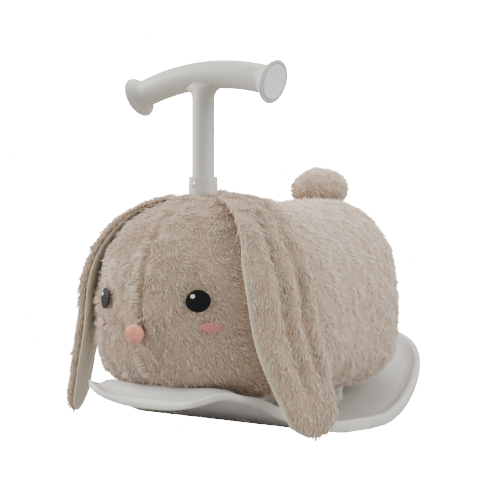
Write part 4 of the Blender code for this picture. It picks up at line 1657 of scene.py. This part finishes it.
@dataclass
class Handlebar:
    """The arched bar on its stem, with a filleted joint, flared ends and inset caps."""

    stem_radius: float = 0.0127
    stem_bottom: float = 0.135
    height: float = 0.4011
    radius: float = 0.0158
    half_span: float = 0.0935
    end_angle: float = math.radians(19)
    bare_share: float = 0.97
    screw_band: float = 0.006
    fillet: float = 0.011
    fillet_steps: int = 15
    flare_length: float = 0.013
    flare_radius: float = 0.0240
    flare_power: float = 2.1
    flare_steps: int = 14
    root_length: float = 0.001
    root_sink: float = 0.0003
    lip: float = 0.003
    lip_edge: float = 0.0014
    cap_radius: float = 0.0195
    cap_depth: float = 0.0030
    cap_proud: float = 0.0008
    cap_gap: float = 0.0004
    screw_radius: float = 0.0023
    screw_reach: float = 0.03
    cap_floor_gap: float = 0.0003
    dish: Table = (
        (0.0, 0.0005),
        (0.55, 0.00045),
        (0.80, 0.0002),
        (0.90, 0.0),
        (0.96, 0.0001),
        (0.99, 0.0006),
        (1.0, 0.0012),
    )

    @property
    def bend(self) -> float:
        """The arch's radius."""
        return self.half_span / math.sin(self.end_angle)

    def point(self, angle: float) -> Vector:
        """A point on the arched axis at an angle from its middle."""
        drop = self.bend * (1 - math.cos(angle))
        return Vector((self.bend * math.sin(angle), STEM_PLACE, self.height - drop))

    def bar(self) -> Form:
        """The arched tube: a ring spun about the arch's centre.

        Returns:
            The closed form.
        """
        form = bmesh.new()
        reach = self.end_angle * self.bare_share
        turn, lean = Matrix.Rotation(-reach, 4, "Y"), Matrix.Rotation(math.pi / 2, 4, "Y")
        place = Matrix.Translation(self.point(-reach)) @ turn @ lean
        bmesh.ops.create_circle(form, cap_ends=False, segments=56, radius=self.radius, matrix=place)
        centre = (0, STEM_PLACE, self.height - self.bend)
        ring = form.edges[:] + form.verts[:]
        bmesh.ops.spin(
            form, geom=ring, cent=centre, axis=(0, 1, 0), angle=2 * reach, steps=40, use_duplicate=False
        )
        bmesh.ops.holes_fill(form, edges=[edge for edge in form.edges if edge.is_boundary])
        return close_and_face_out(form)

    def stem(self) -> Form:
        """The stem, which widens along the bar where it joins it.

        Returns:
            The closed form.
        """
        form = rod(self.stem_radius, (0, STEM_PLACE, self.stem_bottom), (0, STEM_PLACE, self.height), 64)
        foot = self.height - self.radius - self.fillet
        rise, steps = self.height - foot, self.fillet_steps
        levels = [SCREW_HEIGHT - self.screw_band, SCREW_HEIGHT + self.screw_band]
        for level in levels + [foot + rise * step / steps for step in range(steps)]:
            sliced(form, (0, 0, level))
        for vertex in form.verts:
            share = clamped((vertex.co.z - foot) / self.fillet)
            swell = self.fillet * (1 - math.sqrt(1 - share * share))
            vertex.co.x += vertex.co.x / self.stem_radius * swell
        return close_and_face_out(form)

    def end(self, side: Side) -> Matrix:
        """Where the bar ends and which way it points.

        Args:
            side: Which end.

        Returns:
            The place, with its Z along the bar and outwards.
        """
        angle = side.value * self.end_angle
        out = Vector((side.value * math.cos(angle), 0, -side.value * math.sin(angle)))
        return Matrix.Translation(self.point(angle)) @ out.to_track_quat("Z", "Y").to_matrix().to_4x4()

    def flare(self) -> Form:
        """A trumpet-shaped end with a rolled lip and a seat for its cap.

        Returns:
            The closed form, on Z.
        """
        edge, seat, gap = self.lip_edge, self.cap_radius + self.cap_gap, self.cap_gap
        floor, foot = self.lip - self.cap_depth, -self.flare_length - self.root_length
        grow, steps = self.flare_radius - self.radius, self.flare_steps
        horn = quarter_round((self.flare_radius - edge, self.lip - edge), edge, edge, 6)
        curve = [
            (self.radius + grow * (1 - step / steps) ** self.flare_power, -self.flare_length * step / steps)
            for step in range(1, steps + 1)
        ]
        inner = [(0.0, floor), (seat, floor), (seat, self.lip - gap), (seat + gap, self.lip)]
        return spun(inner + horn + curve + [(self.radius - self.root_sink, foot), (0.0, foot)])

    def cap(self) -> Form:
        """The inset disc, softly dished inside a raised ring.

        Returns:
            The closed form, on Z.
        """
        r, top = self.cap_radius, self.lip + self.cap_proud
        foot = self.lip - self.cap_depth + self.cap_floor_gap
        return spun([(r * share, top - drop) for share, drop in self.dish] + [(r, foot), (0.0, foot)])

    def build(self, finishes: Finishes) -> None:
        """Mould the handlebar and press in its caps.

        Args:
            finishes: The toy's finishes.
        """
        bar = make_piece("moulded_handlebar", self.bar(), finishes.handle)
        carve(bar, [self.stem()] + [moved(self.flare(), self.end(side)) for side in Side], "UNION")
        front, rear = ((0, STEM_PLACE + side * self.screw_reach, SCREW_HEIGHT) for side in (-1, 1))
        carve(bar, [rod(self.screw_radius, front, rear, 32)], "DIFFERENCE")
        hang_on(bar, "base", "pale_grey_plastic", "handlebar")
        for side in Side:
            cap = make_piece(f"{side.word}_cap_disc", moved(self.cap(), self.end(side)), finishes.cap)
            hang_on(cap, "base", "cap_plastic", f"{side.word}_end_cap")


@dataclass
class SocketCollar:
    """The collar round the stem, its screw and nut."""

    bore: float = 0.0130
    radius: float = 0.0163
    foot_radius: float = 0.0173
    top: float = 0.2870
    foot: float = 0.2020
    floor: float = 0.1347
    wall: float = 0.004
    edge: float = 0.0013
    neck: float = 0.012
    neck_swell: float = 0.0002
    mouth_drop: float = 0.0005
    mouth_flare: float = 0.0004
    head_radius: float = 0.0034
    head_height: float = 0.0015
    head_crown_share: float = 0.55
    shank_radius: float = 0.0020
    slot_turn: float = 0.3
    slot_length_share: float = 1.3
    slot_width_share: float = 0.28
    nut_bevel: float = 0.0002
    nut_bore_depth: float = 0.05
    overrun: float = 0.01

    def collar_form(self) -> Form:
        """The collar as a spun form with a floor under the stem.

        Returns:
            The closed form.
        """
        base = self.floor - self.wall
        inner = [(0.0, self.floor), (self.bore, self.floor), (self.bore, self.top - self.mouth_drop)]
        inner.append((self.bore + self.mouth_flare, self.top))
        rounded = quarter_round((self.radius - self.edge, self.top - self.edge), self.edge, self.edge, 6)
        outer = [(self.radius + self.neck_swell, self.top - self.neck), (self.foot_radius, self.foot)]
        form = spun(inner + rounded + outer + [(self.foot_radius, base), (0.0, base)])
        bmesh.ops.translate(form, vec=(0, STEM_PLACE, 0), verts=form.verts)
        return form

    def build(self, finishes: Finishes) -> None:
        """Turn the collar, sink its screw holes and fit the screw and nut.

        Args:
            finishes: The toy's finishes.
        """
        collar = make_piece("stem_collar", self.collar_form(), finishes.handle)
        shank, head = self.shank_radius + HOLE_CLEARANCE, self.head_radius + HOLE_CLEARANCE
        sink = self.head_height + HOLE_CLEARANCE
        front, rear = STEM_PLACE - self.radius, STEM_PLACE + self.radius
        before, behind = (0, front - self.overrun, SCREW_HEIGHT), (0, rear + self.overrun, SCREW_HEIGHT)
        tools = [
            rod(shank, before, behind, 32),
            rod(head, before, (0, front + sink, SCREW_HEIGHT), 40),
            rod(head, (0, rear - sink, SCREW_HEIGHT), behind, 40),
        ]
        carve(collar, tools, "DIFFERENCE")
        hang_on(collar, "base", "pale_grey_plastic", "socket_collar")
        place = Matrix.Translation((0, STEM_PLACE, SCREW_HEIGHT)) @ Matrix.Rotation(math.pi / 2, 4, "X")
        for make, node in ((self.screw, "collar_screw"), (self.nut, "collar_nut")):
            piece = make(finishes)
            piece.data.transform(place)
            hang_on(piece, "base", "zinc_steel", node)

    def screw(self, finishes: Finishes) -> Piece:
        """The cross-head screw, on Z.

        Args:
            finishes: The toy's finishes.

        Returns:
            The screw.
        """
        reach, r, h = self.radius, self.head_radius, self.head_height
        crown_height = h * self.head_crown_share
        crown = quarter_round((0.0, reach - crown_height), r, crown_height, 8)
        shank = [(r, reach - h), (self.shank_radius, reach - h), (self.shank_radius, -reach), (0.0, -reach)]
        screw = make_piece("collar_screw_head", spun(crown + shank, 40), finishes.steel)
        slots = []
        for angle in (self.slot_turn, self.slot_turn + math.pi / 2):
            slot = bmesh.new()
            at = Matrix.Translation((0, 0, reach)) @ Matrix.Rotation(angle, 4, "Z")
            size = Matrix.Diagonal((r * self.slot_length_share, r * self.slot_width_share, h, 1.0))
            bmesh.ops.create_cube(slot, size=1.0, matrix=at @ size)
            slots.append(slot)
        carve(screw, slots, "DIFFERENCE")
        return screw

    def nut(self, finishes: Finishes) -> Piece:
        """The hexagonal nut, on Z.

        Args:
            finishes: The toy's finishes.

        Returns:
            The nut.
        """
        r, h = self.head_radius, self.head_height
        middle = Matrix.Translation((0, 0, -self.radius + h / 2))
        form = bmesh.new()
        bmesh.ops.create_cone(form, cap_ends=True, segments=6, radius1=r, radius2=r, depth=h, matrix=middle)
        bmesh.ops.bevel(
            form, geom=form.edges[:], offset=self.nut_bevel, segments=2, profile=0.5, affect="EDGES",
            material=-1, clamp_overlap=True,
        )
        nut = make_piece("collar_nut_hex", form, finishes.steel, 30)
        bore = rod(self.shank_radius + HOLE_CLEARANCE, (0, 0, -self.nut_bore_depth), (0, 0, 0.0), 32)
        carve(nut, [bore], "DIFFERENCE")
        return nut


@dataclass
class HiddenHardware:
    """The seat former and the bolts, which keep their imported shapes."""

    bolts: int = 4

    def build(self, finishes: Finishes) -> None:
        """Give the carried-over nodes their finishes.

        Args:
            finishes: The toy's finishes.
        """
        dressed = {"inner_core": finishes.former}
        for number in range(1, self.bolts + 1):
            dressed[f"base_bolt_{number}"] = finishes.steel
            dressed[f"insert_nut_{number}"] = finishes.steel
        for name, finish in dressed.items():
            for item in frame["nodes"][name].material_slots:
                item.material = finish
            LOG.info("%s keeps its shape", name)

    def places(self) -> list[tuple[float, float]]:
        """Where the bolts stand."""
        boxes = [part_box(f"base_bolt_{number}") for number in range(1, self.bolts + 1)]
        return [((low.x + high.x) / 2, (low.y + high.y) / 2) for low, high in boxes]


# The photograph's setting


@dataclass
class Studio:
    """The pale floor, the soft light and the camera of the photograph."""

    turn: float = math.radians(35.367)
    distance: float = 1.25
    eye_height: float = 0.1994
    focal_px: float = 1033.98
    horizon_px: float = 254.56
    beside: float = 0.0188
    frame_px: float = 480.0
    sensor: float = 36.0
    aim_height: float = 0.18
    air_light: float = 0.80
    backdrop_light: float = 40.0
    floor_size: float = 12.0
    floor_gap: float = 0.0005

    def camera(self) -> None:
        """Place the camera."""
        data = bpy.data.cameras.new("photo_camera")
        data.sensor_width = self.sensor
        data.lens = self.focal_px / self.frame_px * self.sensor
        data.shift_y = (self.horizon_px - self.frame_px / 2) / self.frame_px
        camera = bpy.data.objects.new("photo_camera", data)
        across = Vector((math.cos(self.turn), math.sin(self.turn), 0))
        ahead = Vector((-math.sin(self.turn), math.cos(self.turn), 0))
        camera.location = -ahead * self.distance - across * self.beside + Vector((0, 0, self.eye_height))
        camera.rotation_euler = (math.pi / 2, 0, self.turn)
        bpy.context.scene.collection.objects.link(camera)
        bpy.context.scene.camera = camera

    def lamp(self, name: str, place: Point, size: float, power: float, tint: Colour) -> None:
        """A soft lamp that faces the toy.

        Args:
            name: Its name.
            place: Where it stands.
            size: Its width.
            power: Its power in watts.
            tint: Its colour.
        """
        data = bpy.data.lights.new(name, "AREA")
        data.size, data.energy, data.color = size, power, tint
        lamp = bpy.data.objects.new(name, data)
        lamp.location = place
        aim = Vector((0, 0, self.aim_height)) - lamp.location
        lamp.rotation_euler = aim.to_track_quat("-Z", "Y").to_euler()
        bpy.context.scene.collection.objects.link(lamp)

    def floor(self) -> None:
        """Lay the pale floor."""
        form = bmesh.new()
        bmesh.ops.create_grid(form, x_segments=1, y_segments=1, size=self.floor_size)
        shader = Shader("studio_floor", 0.9)
        tint = shader.ramp(shader.noise(3.0), (0.0, (0.36, 0.35, 0.34)), (1.0, (0.40, 0.39, 0.38)))
        floor = make_piece("studio_floor", form, shader.finish(tint))
        floor.location.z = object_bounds()[0][2] - self.floor_gap
        floor.visible_camera = False
        floor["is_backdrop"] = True

    def air(self) -> None:
        """Fill the studio with even white light, brighter where the camera sees it."""
        world = bpy.data.worlds.new("studio_air")
        world.use_nodes = True
        seen = add_node(world.node_tree, "ShaderNodeLightPath").outputs["Is Camera Ray"]
        values = {"Value": seen, "To Min": self.air_light, "To Max": self.backdrop_light}
        strength = add_node(world.node_tree, "ShaderNodeMapRange", values).outputs["Result"]
        back = world.node_tree.nodes["Background"].inputs
        back["Color"].default_value = (1.0, 1.0, 1.0, 1)
        world.node_tree.links.new(strength, back["Strength"])
        bpy.context.scene.world = world

    def build(self) -> None:
        """Set up floor, light and camera."""
        self.floor()
        self.camera()
        self.air()
        self.lamp("left_light", (-1.5, -0.9, 1.1), 1.3, 72.0, (1.0, 0.985, 0.96))
        self.lamp("right_light", (1.5, 0.3, 0.9), 1.3, 30.0, (1.0, 0.99, 0.97))
        self.lamp("top_light", (0.0, 0.2, 1.8), 1.2, 28.0, (1.0, 1.0, 1.0))


def main() -> None:
    """Build the toy piece by piece and set the studio round it."""
    logging.basicConfig(level=logging.INFO, format="%(message)s")
    finishes = Finishes()
    loaf = StuffedLoaf()
    pile = Pile(finishes.pile)
    fuzz = Pile(finishes.coral, length=0.0022, width=0.00045)
    hardware = HiddenHardware()
    hardware.build(finishes)
    RockerBoard().build(finishes, hardware.places())
    Handlebar().build(finishes)
    SocketCollar().build(finishes)
    kept_off = Face(loaf).build(finishes, fuzz)
    for side in Side:
        kept_off += Ear(side, loaf).build(finishes, pile)
    keep_off = helper_of("pile_keeps_off", kept_off)
    SewnBody(loaf).build(finishes, pile, keep_off)
    Studio().build()
    helpers = [item for item in bpy.data.objects if item.name.startswith(("pile_keeps_off", "tuft_helper"))]
    for helper in helpers:
        bpy.data.objects.remove(helper)
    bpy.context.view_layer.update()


if __name__ == "__main__":
    main()
